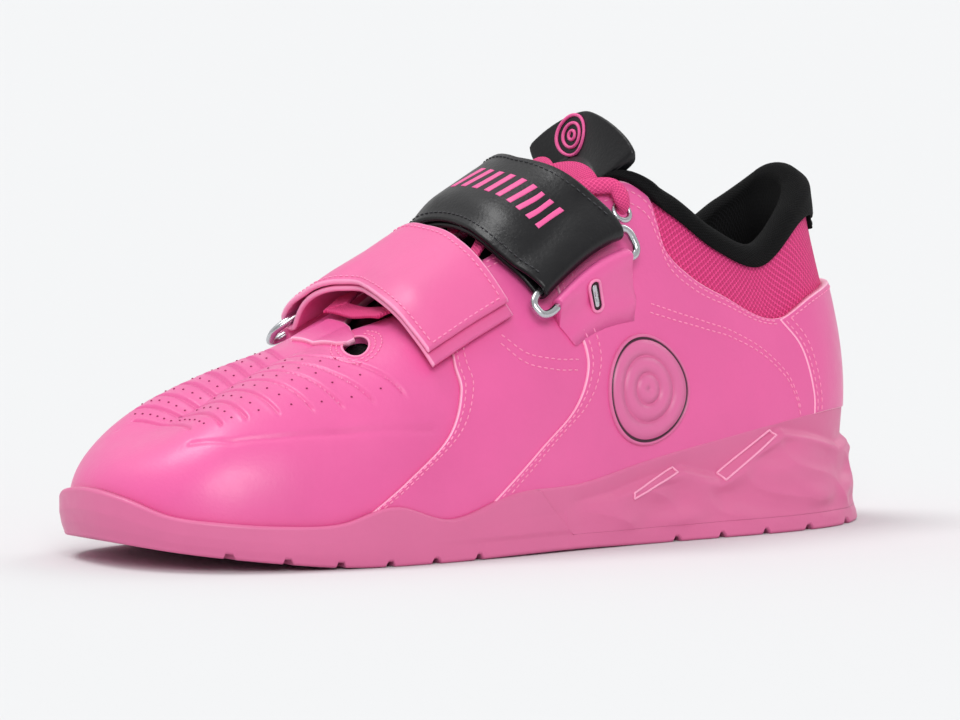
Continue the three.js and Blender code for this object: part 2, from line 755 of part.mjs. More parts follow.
// The tongue lies under the edges of the throat and stands up past the top eyelets.
// Its middle rises straight, and its wings first follow the wall and then lean out over it.
const TONGUE_ROWS = [10.4, 10, 9.5, 9, 8.5, 8, 7.5, 7, 6.6, 6.3];
const TONGUE_ACROSS = 14;
const TONGUE_MARGIN = 13;
const TONGUE_UNDER = WALL + COLLAR_WALL + 2 * GAP;
const TONGUE_PAD = 5;
const TONGUE_EDGE = 1.6;
const TONGUE_PUFF = 2.6;
const TONGUE_STAND = 15;
const TONGUE_MIDDLE_RISE = new THREE.Vector3(-0.2, 0, 1);
const TONGUE_WING_RISE = new THREE.Vector3(-0.4, 0.9, 0.7);
const TONGUE_YAW = 0.3;
const TONGUE_HELD = 4;

function tongueRise(row, a, share, lift) {
  const side = Math.sign(a) || 1;
  const wing = THREE.MathUtils.smoothstep(Math.abs(share), 0, 0.75);
  const free = TONGUE_MIDDLE_RISE.clone().lerp(TONGUE_WING_RISE, wing);
  free.y *= side;
  free.x -= TONGUE_YAW * wing * side;
  const wall = skin(row, side, 1).sub(skin(row, side, 1 - 1 / UPPER_LIFTS)).normalize();
  const reach = lift * TONGUE_STAND * (1 - 0.75 * share ** 4);
  const held = Math.min(reach, Math.max(0, Math.abs(a) - archLine(row).halfGap + TONGUE_HELD));
  return wall.multiplyScalar(held).addScaledVector(free, reach - held);
}

function tongueSolid() {
  const tops = [];
  const bottoms = [];
  const column = (row, lift) => {
    const halfGap = Math.max(1, archLine(row).halfGap);
    const half = halfGap + TONGUE_MARGIN;
    const puff = Math.min(TONGUE_PUFF, halfGap * 0.2);
    const top = [];
    const bottom = [];
    for (let j = 0; j <= TONGUE_ACROSS; j++) {
      const share = 1 - (2 * j) / TONGUE_ACROSS;
      const a = share * half;
      const open = Math.max(0, 1 - (a / halfGap) ** 2);
      const full = (1 - share ** 4) * Math.min(1, (RIDGE_ROW + 0.5 - row) / 2);
      const pad = (TONGUE_EDGE + (TONGUE_PAD - TONGUE_EDGE) * full) * (1 - 0.3 * lift);
      const rise = tongueRise(row, a, share, lift);
      top.push(archPoint(row, a, puff * open - TONGUE_UNDER).add(rise));
      bottom.push(archPoint(row, a, -TONGUE_UNDER - pad).add(rise));
    }
    tops.push(top);
    bottoms.push(bottom);
  };
  for (const row of TONGUE_ROWS) column(row, 0);
  const end = TONGUE_ROWS[TONGUE_ROWS.length - 1];
  for (const lift of [0.3, 0.65, 1]) column(end, lift);
  return slab(tops, bottoms);
}

// A strap: side is +1 where its ring sits on the outer side. row is its place at the top of the instep.
const STRAPS = {
  upper: { side: 1, row: 7.5, bend: 0.74, ring: 51, tip: -48, peak: -10, rise: 7.5, slant: 6 },
  lower: { side: -1, row: 8.85, bend: 0.56, ring: 38, tip: -53, peak: 8, rise: 7.5, slant: 6 },
};
const STRAP_EASE = 20;
const STRAP_TILT = 0.5;
const STRAP_CLEAR = 2.5;
const STRAP_STEPS = 13;
const STRAP_TUCK = 5;
const LAYER_GAP = 0.5;
const FOLD_RUN = 16;
const ROW_PITCH = 25;
const FOLD_INSIDE = WIRE / 2 + 1.6 * GAP;
const BAR_OUT = STRAP_CLEAR + STRAP_LAYER + FOLD_INSIDE;

// A point on a strap: s along it, w across it towards the toe, out above the upper.
function strapPoint(strap, s, w, out) {
  const reach = Math.abs(s);
  const eased = reach + STRAP_EASE;
  const back = (strap.bend * s * s) / eased;
  const slope = (STRAP_TILT * strap.bend * (s * s + 2 * STRAP_EASE * reach)) / eased ** 2;
  const across = Math.hypot(1, slope);
  const row = strap.row + (w / across - back) / ROW_PITCH;
  const place = s + Math.sign(s) * ((w * slope) / across);
  return archPoint(row, strap.side * place, out);
}

// How far the lower layer's underside stands above the upper at s.
function underside(strap, s) {
  const span = s > strap.peak ? strap.ring - strap.peak : strap.peak - strap.tip;
  const share = Math.min(1, Math.abs(s - strap.peak) / span);
  return STRAP_CLEAR + strap.rise * Math.cos((share * Math.PI) / 2) ** 1.4;
}

// The outline of a strap in s and out: along the lower layer, round the ring's bar and back to the free end.
function strapOutline(strap) {
  const steps = STRAP_STEPS;
  const anchor = strap.tip - STRAP_TUCK;
  const lowerAt = (k) => THREE.MathUtils.lerp(anchor, strap.ring, k / steps);
  const upperAt = (k) => THREE.MathUtils.lerp(strap.ring, strap.tip, k / steps);
  const lift = (s) => {
    const near = THREE.MathUtils.smoothstep(s, strap.ring - FOLD_RUN, strap.ring);
    return underside(strap, s) + STRAP_LAYER + THREE.MathUtils.lerp(LAYER_GAP, 2 * FOLD_INSIDE, near);
  };
  const arc = (radius, turned) => {
    const points = [];
    for (let k = 1; k < 6; k++) {
      const angle = -Math.PI / 2 + (Math.PI * k) / 6;
      points.push([strap.ring + radius * Math.cos(angle), BAR_OUT + radius * Math.sin(angle)]);
    }
    return turned ? points.reverse() : points;
  };
  const outline = [];
  for (let k = 0; k <= steps; k++) outline.push([lowerAt(k), underside(strap, lowerAt(k))]);
  outline.push(...arc(FOLD_INSIDE + STRAP_LAYER, false));
  for (let k = 0; k <= steps; k++) outline.push([upperAt(k), lift(upperAt(k)) + STRAP_LAYER]);
  for (let k = steps; k >= 0; k--) outline.push([upperAt(k), lift(upperAt(k))]);
  outline.push(...arc(FOLD_INSIDE, true));
  for (let k = steps; k >= 0; k--) outline.push([lowerAt(k), underside(strap, lowerAt(k)) + STRAP_LAYER]);
  return outline;
}

function strapSolid(strap) {
  const outline = strapOutline(strap);
  const loops = [];
  const steps = 4;
  for (let i = 0; i <= steps; i++) {
    const w = STRAP_WIDTH * (i / steps - 0.5);
    loops.push(
      outline.map(([s, out]) => {
        const toTip = THREE.MathUtils.clamp((strap.ring - s) / (strap.ring - strap.tip), 0, 1);
        const slanted = s + (strap.slant * toTip ** 4 * w) / STRAP_WIDTH;
        return strapPoint(strap, slanted, w, out);
      })
    );
  }
  return solidFrom(gridGeometry(loops, false, true));
}

// The wire ring: one bar in the strap's fold, the other in the keeper's.
const RING_ROUND = 3.6;
const RING_OVER = 3.7;

function ringSolid(strap, radius) {
  const half = STRAP_WIDTH / 2 + RING_OVER;
  const path = [];
  const corner = (s, w, from) => {
    for (let k = 0; k <= 3; k++) {
      const angle = from + (k / 3) * (Math.PI / 2);
      path.push([s + RING_ROUND * Math.cos(angle), w + RING_ROUND * Math.sin(angle)]);
    }
  };
  const near = strap.ring + RING_ROUND;
  const far = strap.ring + RING_REACH - RING_ROUND;
  const straight = 4;
  corner(far, half - RING_ROUND, 0);
  corner(near, half - RING_ROUND, Math.PI / 2);
  for (let k = 1; k < straight; k++) path.push([strap.ring, (half - RING_ROUND) * (1 - (2 * k) / straight)]);
  corner(near, RING_ROUND - half, Math.PI);
  corner(far, RING_ROUND - half, 1.5 * Math.PI);
  for (let k = 1; k < straight; k++) {
    path.push([strap.ring + RING_REACH, (half - RING_ROUND) * ((2 * k) / straight - 1)]);
  }
  const centres = path.map(([s, w]) => strapPoint(strap, s, w, BAR_OUT));
  const lifted = path.map(([s, w]) => strapPoint(strap, s, w, BAR_OUT + 1));
  const loops = centres.map((centre, i) => {
    const before = centres[(i + centres.length - 1) % centres.length];
    const after = centres[(i + 1) % centres.length];
    const tangent = after.clone().sub(before).normalize();
    const up = lifted[i].clone().sub(centre).projectOnPlane(tangent).normalize();
    const flat = tangent.clone().cross(up);
    return Array.from({ length: 8 }, (_, k) => {
      const angle = (k / 8) * 2 * Math.PI;
      const ring = centre.clone().addScaledVector(up, radius * Math.sin(angle));
      return ring.addScaledVector(flat, radius * Math.cos(angle));
    });
  });
  return solidFrom(gridGeometry(loops, true, true));
}

// The keeper: a leather fold round the ring's other bar, sewn down towards the sole.
const KEEPER_LAYER = 1.3;
const KEEPER_LENGTH = 17;
const KEEPER_STEPS = 4;

function keeperSolid(strap) {
  const bar = strap.ring + RING_REACH;
  const end = bar + KEEPER_LENGTH;
  const low = STRAP_CLEAR;
  const inside = FOLD_INSIDE;
  const outside = BAR_OUT - low;
  const crest = BAR_OUT + inside + KEEPER_LAYER;
  const outline = [];
  for (const s of [end, bar + 8, bar + 4, bar]) outline.push([s, low]);
  for (let k = 1; k < 6; k++) {
    const angle = -Math.PI / 2 - (Math.PI * k) / 6;
    const reach = outside - 0.4;
    outline.push([bar + (inside + KEEPER_LAYER) * Math.cos(angle), BAR_OUT + reach * Math.sin(angle)]);
  }
  outline.push([bar, crest], [bar + 4, crest - 1.4], [bar + 8, low + 2.2], [end, low + 0.7]);
  const loops = [];
  const half = STRAP_WIDTH / 2 - 1;
  for (let i = 0; i <= KEEPER_STEPS; i++) {
    const w = half * ((2 * i) / KEEPER_STEPS - 1);
    loops.push(outline.map(([s, out]) => strapPoint(strap, s, w, out)));
  }
  return solidFrom(gridGeometry(loops, false, true));
}

// The slot that shows the bar through the keeper and runs on below it
const SLOT_WIDTH = 3.2;
const SLOT_LENGTH = 10;

function keeperSlot(strap) {
  const bar = strap.ring + RING_REACH;
  const start = bar - FOLD_INSIDE;
  const above = BAR_OUT + 4 * WIRE;
  const outline = [
    [start, BAR_OUT],
    [bar + FOLD_INSIDE, BAR_OUT],
    [start + SLOT_LENGTH, STRAP_CLEAR + KEEPER_LAYER],
    [start + SLOT_LENGTH, above],
    [start, above],
  ];
  const loop = (w) => outline.map(([s, out]) => strapPoint(strap, s, w, out));
  return solidFrom(gridGeometry([loop(-SLOT_WIDTH / 2), loop(SLOT_WIDTH / 2)], false, true));
}

// The lace: flat lengths that cross over the tongue below the top eyelets, then run along the edges of the
// throat to one bar at its front.
const LACE_WIDTH = 7;
const LACE_LOW = QUARTER_TOP + GAP;
const LACE_THICK = 1.1;
const LACE_TURNS = [6.3, 7.15, 8, 8.85];
const LACE_BAR = 9.5;
const LACE_REACH = 3.5;

function laceLength(rowA, aA, rowB, aB, lift) {
  const steps = 6;
  const dRow = (rowB - rowA) * ROW_PITCH;
  const dA = aB - aA;
  const length = Math.hypot(dRow, dA);
  const grid = (out) => {
    const rows = [];
    for (let i = 0; i <= steps; i++) {
      const t = i / steps;
      const row = THREE.MathUtils.lerp(rowA, rowB, t);
      const a = THREE.MathUtils.lerp(aA, aB, t);
      const across = [-0.5, 0.5].map((w) => {
        const sideRow = (w * LACE_WIDTH * -dA) / length / ROW_PITCH;
        const sideA = (w * LACE_WIDTH * dRow) / length;
        return archPoint(row + sideRow, a + sideA, out);
      });
      rows.push(across);
    }
    return rows;
  };
  return slab(grid(LACE_LOW + lift + LACE_THICK), grid(LACE_LOW + lift));
}

function lacesSolid() {
  const edge = (row) => archLine(row).halfGap + LACE_REACH;
  const lengths = [];
  for (let k = 0; k < LACE_TURNS.length - 1; k++) {
    const [from, to] = [LACE_TURNS[k], LACE_TURNS[k + 1]];
    lengths.push(laceLength(from, edge(from), to, -edge(to), 0));
    lengths.push(laceLength(from, -edge(from), to, edge(to), LACE_THICK / 2));
  }
  const last = LACE_TURNS[LACE_TURNS.length - 1];
  for (const side of [1, -1]) {
    lengths.push(laceLength(last, side * edge(last), LACE_BAR, side * edge(LACE_BAR), LACE_THICK / 4));
  }
  lengths.push(laceLength(LACE_BAR, edge(LACE_BAR), LACE_BAR, -edge(LACE_BAR), 0));
  return wasm.Manifold.union(lengths);
}

// Small round pieces set on the skin around a point of it.
const EYELET = { row: 5.76, v: 0.85, radius: 3.6, hole: 1.9, height: 0.9 };
const BADGE = { row: 5.06, v: 0.275, radius: 17, height: 1.1 };
const ON_QUARTER = QUARTER_TOP + GAP;

// Turns plan offsets along and up the skin at a point into points above it.
function localFrame(side, row, v) {
  const h = 0.02;
  const perRow = skin(row + h, side, v).distanceTo(skin(row - h, side, v)) / (2 * h);
  const perLift = skin(row, side, v + h).distanceTo(skin(row, side, v - h)) / (2 * h);
  return (x, y, out) => skinPoint(row + x / perRow, side, v + y / perLift, out);
}

function eyeletSolid(side) {
  const at = localFrame(side, EYELET.row, EYELET.v);
  const { radius, hole, height } = EYELET;
  const profile = [
    [hole, ON_QUARTER],
    [radius, ON_QUARTER],
    [radius - 0.2, ON_QUARTER + 0.5 * height],
    [radius - 0.9, ON_QUARTER + height],
    [hole + 0.3, ON_QUARTER + 0.7 * height],
  ];
  const count = 16;
  const loops = Array.from({ length: count }, (_, k) => {
    const angle = (k / count) * 2 * Math.PI;
    return profile.map(([r, out]) => at(r * Math.cos(angle), r * Math.sin(angle), out));
  });
  return solidFrom(gridGeometry(loops, true, true));
}

function badgeSolid() {
  const at = localFrame(1, BADGE.row, BADGE.v);
  const steps = 8;
  const grid = (radius, out) => {
    const rows = [];
    for (let i = 0; i <= steps; i++) {
      const p = (2 * i) / steps - 1;
      const column = [];
      for (let j = 0; j <= steps; j++) {
        const q = (2 * j) / steps - 1;
        const x = radius * p * Math.sqrt(1 - (q * q) / 2);
        const y = radius * q * Math.sqrt(1 - (p * p) / 2);
        column.push(at(x, y, out));
      }
      rows.push(column);
    }
    return rows;
  };
  return slab(grid(BADGE.radius - 0.5, ON_QUARTER + BADGE.height), grid(BADGE.radius, ON_QUARTER));
}

// The finished shoe
const cup = soleForm().subtract(filledUpper(GAP));
const ring = (strap) => ringSolid(strap, WIRE / 2);
const ringRoom = (strap) => ringSolid(strap, (WIRE / 2 + GAP) / Math.cos(Math.PI / 8));
const strapPiece = (strap) => strapSolid(strap).subtract(ringRoom(strap));
const keeper = (strap) => keeperSolid(strap).subtract(ringRoom(strap)).subtract(keeperSlot(strap));

const PINK_LEATHER = { color: 0xf0569b, roughness: 0.42, metalness: 0 };
const PINK_MESH = { color: 0xee3c8c, roughness: 0.85, metalness: 0 };
const SOLE_PINK = { color: 0xdd74a4, roughness: 0.6, metalness: 0 };
const BLACK_LEATHER = { color: 0x1b1b1d, roughness: 0.45, metalness: 0 };
const BLACK_FABRIC = { color: 0x141416, roughness: 0.9, metalness: 0 };
const STEEL = { color: 0xb9bcc0, roughness: 0.28, metalness: 1 };

const PIECES = [
  ["outsole", cup.subtract(wedgeRegion(GAP)).subtract(treadGrooves()), SOLE_PINK],
  ["heel_wedge", cup.intersect(wedgeRegion(0)), SOLE_PINK],
  ["insole", insoleSolid(), BLACK_FABRIC],
  ["upper", upperWall().subtract(keyholeCut()), PINK_MESH],
  ["mid_panel_lateral", midPanel(1), PINK_LEATHER],
  ["mid_panel_medial", midPanel(-1), PINK_LEATHER],
  ["quarter_panel_lateral", quarterPanel(1), PINK_LEATHER],
  ["quarter_panel_medial", quarterPanel(-1), PINK_LEATHER],
  ["heel_counter", heelCounter(), PINK_LEATHER],
  ["heel_tab", heelTab(), BLACK_LEATHER],
  ["collar_lining", collarLining(), BLACK_FABRIC],
  ["tongue", tongueSolid(), BLACK_LEATHER],
  ["laces", lacesSolid(), PINK_MESH],
  ["strap_upper", strapPiece(STRAPS.upper), BLACK_LEATHER],
  ["strap_lower", strapPiece(STRAPS.lower), PINK_LEATHER],
  ["ring_upper", ring(STRAPS.upper), STEEL],
  ["ring_lower", ring(STRAPS.lower), STEEL],
  ["ring_keeper_upper", keeper(STRAPS.upper), PINK_LEATHER],
  ["ring_keeper_lower", keeper(STRAPS.lower), PINK_LEATHER],
  ["eyelet_lateral", eyeletSolid(1), STEEL],
  ["eyelet_medial", eyeletSolid(-1), STEEL],
  ["side_badge", badgeSolid(), SOLE_PINK],
];

const shoe = new THREE.Group();
for (const [name, solid, look] of PIECES) {
  const mesh = new THREE.Mesh(geometryFrom(solid), new THREE.MeshStandardMaterial(look));
  mesh.name = name;
  shoe.add(mesh);
}

const bounds = new THREE.Box3().setFromObject(shoe);
const centre = bounds.getCenter(new THREE.Vector3());
shoe.position.set(-centre.x, -centre.y, -bounds.min.z);

export default shoe;
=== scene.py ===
"""A left weightlifting shoe on a plain pale floor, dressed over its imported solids."""
import math

import bmesh
import bpy
import numpy as np
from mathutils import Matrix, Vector


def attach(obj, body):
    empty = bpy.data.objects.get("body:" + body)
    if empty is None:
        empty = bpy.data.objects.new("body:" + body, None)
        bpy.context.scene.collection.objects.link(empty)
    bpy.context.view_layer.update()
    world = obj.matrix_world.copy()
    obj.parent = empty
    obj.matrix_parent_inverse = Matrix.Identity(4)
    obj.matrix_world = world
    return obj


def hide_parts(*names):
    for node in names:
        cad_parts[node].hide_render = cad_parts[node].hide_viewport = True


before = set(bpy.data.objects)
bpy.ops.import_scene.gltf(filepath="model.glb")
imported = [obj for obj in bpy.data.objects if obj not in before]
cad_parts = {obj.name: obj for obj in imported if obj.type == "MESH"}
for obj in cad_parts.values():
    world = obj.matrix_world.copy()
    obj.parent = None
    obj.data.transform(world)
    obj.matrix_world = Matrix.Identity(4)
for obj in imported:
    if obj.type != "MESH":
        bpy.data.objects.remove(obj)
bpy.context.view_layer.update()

# Lengths below are in millimetres in the last's own frame; SHIFT takes them to the model's frame.
SHIFT = np.array([136.13, 0.84448, 0.0])

# Driving dimensions
LAST_LENGTH = 280
BALL_WIDTH = 100
COLLAR_HEIGHT = 107
HEEL_RISE = 19
TOE_SPRING = 9
WALL = 2.2
GAP = 0.32
FOREFOOT_SOLE = 8
HEEL_LIP = 3.5
TREAD_LAYER = 5
INSOLE_THICKNESS = 4
STRAP_WIDTH = 28
STRAP_LAYER = 1.8
RING_REACH = 9.4
WIRE = 2.6

# The last, a row for each place from the heel centre to the toe tip, in shares of the sizes above.
LAST_COLUMNS = "x lat med rise spring tx tlat tmed tz belly low reach drop".split()
LAST_ROWS = np.array([
    [0.0, 0.0, 0.0, 1.0, 0, 0.04, 0.0, 0.0, 1.0, 0.045, 0.4, 0.3, 0.33],
    [0.018, 0.165, 0.165, 1.0, 0, 0.05, 0.12, 0.12, 0.985, 0.045, 0.4, 0.3, 0.33],
    [0.07, 0.285, 0.27, 1.0, 0, 0.09, 0.21, 0.205, 0.915, 0.045, 0.4, 0.25, 0.33],
    [0.15, 0.335, 0.31, 0.97, 0, 0.155, 0.265, 0.255, 0.805, 0.04, 0.4, 0.25, 0.35],
    [0.245, 0.355, 0.315, 0.87, 0, 0.222, 0.285, 0.27, 0.86, 0.04, 0.4, 0.35, 0.3],
    [0.35, 0.385, 0.315, 0.66, 0, 0.28, 0.255, 0.24, 0.97, 0.035, 0.42, 0.45, 0.25],
    [0.45, 0.425, 0.34, 0.42, 0, 0.34, 0.19, 0.175, 1.05, 0.035, 0.45, 0.5, 0.22],
    [0.545, 0.465, 0.39, 0.2, 0, 0.425, 0.16, 0.17, 0.93, 0.035, 0.48, 0.5, 0.18],
    [0.635, 0.49, 0.445, 0.05, 0, 0.515, 0.14, 0.165, 0.81, 0.03, 0.5, 0.5, 0.14],
    [0.71, 0.495, 0.472, 0, 0, 0.6, 0.115, 0.145, 0.69, 0.03, 0.54, 0.52, 0.09],
    [0.775, 0.475, 0.48, 0, 0.05, 0.665, -0.02, 0.02, 0.61, 0.025, 0.6, 0.56, 0.02],
    [0.838, 0.43, 0.46, 0, 0.2, 0.74, -0.022, 0.022, 0.545, 0.02, 0.64, 0.6, 0],
    [0.895, 0.355, 0.41, 0, 0.36, 0.8, -0.026, 0.026, 0.478, 0.015, 0.66, 0.63, 0],
    [0.933, 0.255, 0.33, 0, 0.58, 0.835, -0.028, 0.028, 0.43, 0.012, 0.66, 0.6, 0.08],
    [0.958, 0.12, 0.21, 0, 0.84, 0.852, -0.036, 0.036, 0.41, 0.01, 0.62, 0.55, 0.2],
    [0.967, -0.042, 0.042, 0, 1.0, 0.858, -0.042, 0.042, 0.404, 0.01, 0.6, 0.52, 0.26],
])
LAST = {name: LAST_ROWS[:, k] for k, name in enumerate(LAST_COLUMNS)}
TOE_ROW = len(LAST_ROWS) - 1
RIDGE_ROW = 10
SIDES = ((1, "lateral"), (-1, "medial"))

# The step in rows and lifts that slopes on the last are measured over
SLOPE_STEP = 0.02


def smoothstep(x, low, high):
    t = np.clip((np.asarray(x, float) - low) / (high - low), 0, 1)
    return t * t * (3 - 2 * t)


def mix(a, b, t):
    return a + (b - a) * t


def unit(v):
    return v / np.maximum(np.linalg.norm(v, axis=-1, keepdims=True), 1e-9)


def even(*values):
    """The values as arrays of one shape."""
    return np.broadcast_arrays(*(np.asarray(value, float) for value in values))


def stepped(stops, counts):
    """Places through the stops; each stretch has its own count of places, both its ends among them."""
    runs = [np.linspace(a, b, n)[:-1] for a, b, n in zip(stops[:-1], stops[1:], counts)]
    return np.concatenate(runs + [stops[-1:]])


def there_and_back(rows):
    """Rows up to the toe on one side, and back from it on the other."""
    return np.concatenate([rows, (2 * TOE_ROW - rows[::-1])[1:]])


def circle(count):
    return np.linspace(0, 2 * math.pi, count, endpoint=False)


def spline(p0, p1, p2, p3, t):
    """The smooth curve from p1 to p2 between its neighbours."""
    cubic = (3 * p1 - 3 * p2 + p3 - p0) * t**3
    return 0.5 * (2 * p1 + (p2 - p0) * t + (2 * p0 - 5 * p1 + 4 * p2 - p3) * t**2 + cubic)


def bezier(p0, p1, p2, p3, t):
    w = 1 - t
    return w**3 * p0 + 3 * w * w * t * p1 + 3 * w * t * t * p2 + t**3 * p3


# The last: rows below 0 run round the heel to the other side, and rows past the toe run back along it.
def wrap(row, side):
    row, side = even(row, side)
    side = np.where((row < 0) | (row > TOE_ROW), -side, side)
    row = np.abs(row)
    return np.where(row > TOE_ROW, 2 * TOE_ROW - row, row), side


def along(outer, inner, row, side):
    k = np.clip(np.floor(row).astype(int), 0, TOE_ROW - 1)

    def at(i):
        r, s = wrap(i, side)
        r = r.astype(int)
        return np.where(s > 0, outer[r], inner[r])

    return spline(at(k - 1), at(k), at(k + 1), at(k + 2), row - k)


def column(name, row, side):
    return along(LAST[name], LAST[name], row, side)


def base_point(row, side):
    row, side = wrap(row, side)
    x = HEEL_LIP + column("x", row, side) * LAST_LENGTH
    y = along(LAST["lat"], -LAST["med"], row, side) * BALL_WIDTH
    z = FOREFOOT_SOLE + column("rise", row, side) * HEEL_RISE + column("spring", row, side) * TOE_SPRING
    return np.stack([x, y, z], -1)


def top_point(row, side):
    row, side = wrap(row, side)
    x = HEEL_LIP + column("tx", row, side) * LAST_LENGTH
    z = column("tz", row, side) * COLLAR_HEIGHT
    own = along(LAST["tlat"], -LAST["tmed"], row, side) * BALL_WIDTH
    other = along(LAST["tlat"], -LAST["tmed"], row, -side) * BALL_WIDTH
    return np.stack([x, np.where(row < RIDGE_ROW, own, (own + other) / 2), z], -1)


def outward(row, side):
    run = base_point(row + SLOPE_STEP, side) - base_point(row - SLOPE_STEP, side)
    side = np.broadcast_to(side, run.shape[:-1])
    return unit(np.stack([-run[..., 1] * side, run[..., 0] * side, 0 * side], -1))


def skin(row, side, v):
    """Points of the last's skin at a row, a side and a lift v, from 0 at the sole to 1 at the top."""
    row, side, v = even(row, side, v)
    out = outward(row, side)
    row, side = wrap(row, side)
    base, top = base_point(row, side), top_point(row, side)
    rise = top[..., 2] - base[..., 2]
    low = base + out * (column("belly", row, side) * BALL_WIDTH)[..., None]
    low[..., 2] += column("low", row, side) * rise
    high = top - (top - base) * column("reach", row, side)[..., None]
    high[..., 2] = top[..., 2] - column("drop", row, side) * rise
    return bezier(base, low, high, top, v[..., None])


def skin_normal(row, side, v):
    row, side, v = even(row, side, v)
    up = skin(row, side, np.minimum(1, v + SLOPE_STEP)) - skin(row, side, np.maximum(0, v - SLOPE_STEP))
    run = skin(row + SLOPE_STEP, side, v) - skin(row - SLOPE_STEP, side, v)
    return unit(np.cross(run, up) * -side[..., None])


def skin_point(row, side, v, out):
    return skin(row, side, v) + skin_normal(row, side, v) * np.asarray(out)[..., None]


# Mesh helpers
WELD = 0.004


def grid_faces(ni, nj, loop_i=False, loop_j=False, start=0):
    i = np.arange(ni if loop_i else ni - 1)
    j = np.arange(nj if loop_j else nj - 1)
    a, b = np.meshgrid(i, j, indexing="ij")
    a, b = a.ravel(), b.ravel()
    a1, b1 = (a + 1) % ni, (b + 1) % nj
    return start + np.stack([a * nj + b, a1 * nj + b, a1 * nj + b1, a * nj + b1], -1)


def slab_faces(ni, nj):
    """Faces of a slab: a top grid, a bottom grid and the rim between them."""
    index = np.arange(ni * nj).reshape(ni, nj)
    ring = np.concatenate([index[:-1, 0], index[-1, :-1], index[:0:-1, -1], index[0, :0:-1]])
    after = np.roll(ring, -1)
    rim = np.stack([ring, after, after + ni * nj, ring + ni * nj], -1)
    return [grid_faces(ni, nj), grid_faces(ni, nj, start=ni * nj)[:, ::-1], rim]


def rod_faces(ni, nj, near=None, far=None):
    """Faces of a rod of ni rings of nj points, each end closed by a strip between two runs of its points."""
    near = np.arange(nj // 2) if near is None else near
    far = nj - 1 - near if far is None else far
    strip = np.stack([near[:-1], near[1:], far[1:], far[:-1]], -1)
    return [grid_faces(ni, nj, loop_j=True), strip, strip + (ni - 1) * nj]


def tube(centres, ups, radius, sides):
    """Points of a closed round tube along a loop of centres."""
    tangent = unit(np.roll(centres, -1, 0) - np.roll(centres, 1, 0))
    up = unit(ups - tangent * (ups * tangent).sum(-1, keepdims=True))
    flat = np.cross(tangent, up)
    angle = circle(sides)[None, :, None]
    return centres[:, None] + radius * (up[:, None] * np.sin(angle) + flat[:, None] * np.cos(angle))


def to_scene(points):
    return ((points - SHIFT) / 1000).tolist()


def add_object(name, data):
    thing = bpy.data.objects.new(name, data)
    bpy.context.collection.objects.link(thing)
    return thing


def make(name, points, faces, look, slot, nodes=(), uvs=None, tones=None, weld=WELD):
    """One piece of the shoe: points in millimetres, and tones from 0 to 1 where a look blends two colours."""
    name = f"{name}_dressed" if name in nodes else name
    mesh = bpy.data.meshes.new(name)
    points = np.asarray(points, float).reshape(-1, 3)
    faces = np.concatenate([np.asarray(f).reshape(-1, 4) for f in faces])
    outlines = [list(dict.fromkeys(face)) for face in faces.tolist()]
    mesh.from_pydata(to_scene(points), [], outlines)
    corner = np.empty(len(mesh.loops), int)
    mesh.loops.foreach_get("vertex_index", corner)
    if uvs is not None:
        layer = mesh.uv_layers.new(name="UVMap")
        layer.data.foreach_set("uv", np.asarray(uvs, float).reshape(-1, 2)[corner].ravel())
    if tones is not None:
        layer = mesh.attributes.new("tone", "FLOAT", "POINT")
        layer.data.foreach_set("value", np.asarray(tones, float).ravel())
    form = bmesh.new()
    form.from_mesh(mesh)
    bmesh.ops.remove_doubles(form, verts=form.verts, dist=weld / 1000)
    bmesh.ops.dissolve_degenerate(form, edges=form.edges, dist=1e-7)
    bmesh.ops.recalc_face_normals(form, faces=form.faces)
    form.to_mesh(mesh)
    form.free()
    mesh.polygons.foreach_set("use_smooth", np.ones(len(mesh.polygons), bool))
    mesh.materials.append(look)
    piece = add_object(name, mesh)
    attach(piece, "root")
    if nodes:
        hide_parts(*nodes)
    return piece


def wire(name, centres, ups, radius, sides, look, slot, nodes=(), tone=0.0):
    """A closed loop of wire or welt."""
    loops = tube(centres, ups, radius, sides)
    size = loops.shape[:2]
    return make(name, loops, [grid_faces(*size, True, True)], look, slot, nodes, tones=np.full(size, tone))


# Node helpers
def linear(colour):
    value = [((colour >> shift) & 255) / 255 for shift in (16, 8, 0)]
    return [c / 12.92 if c <= 0.04045 else ((c + 0.055) / 1.055) ** 2.4 for c in value] + [1.0]


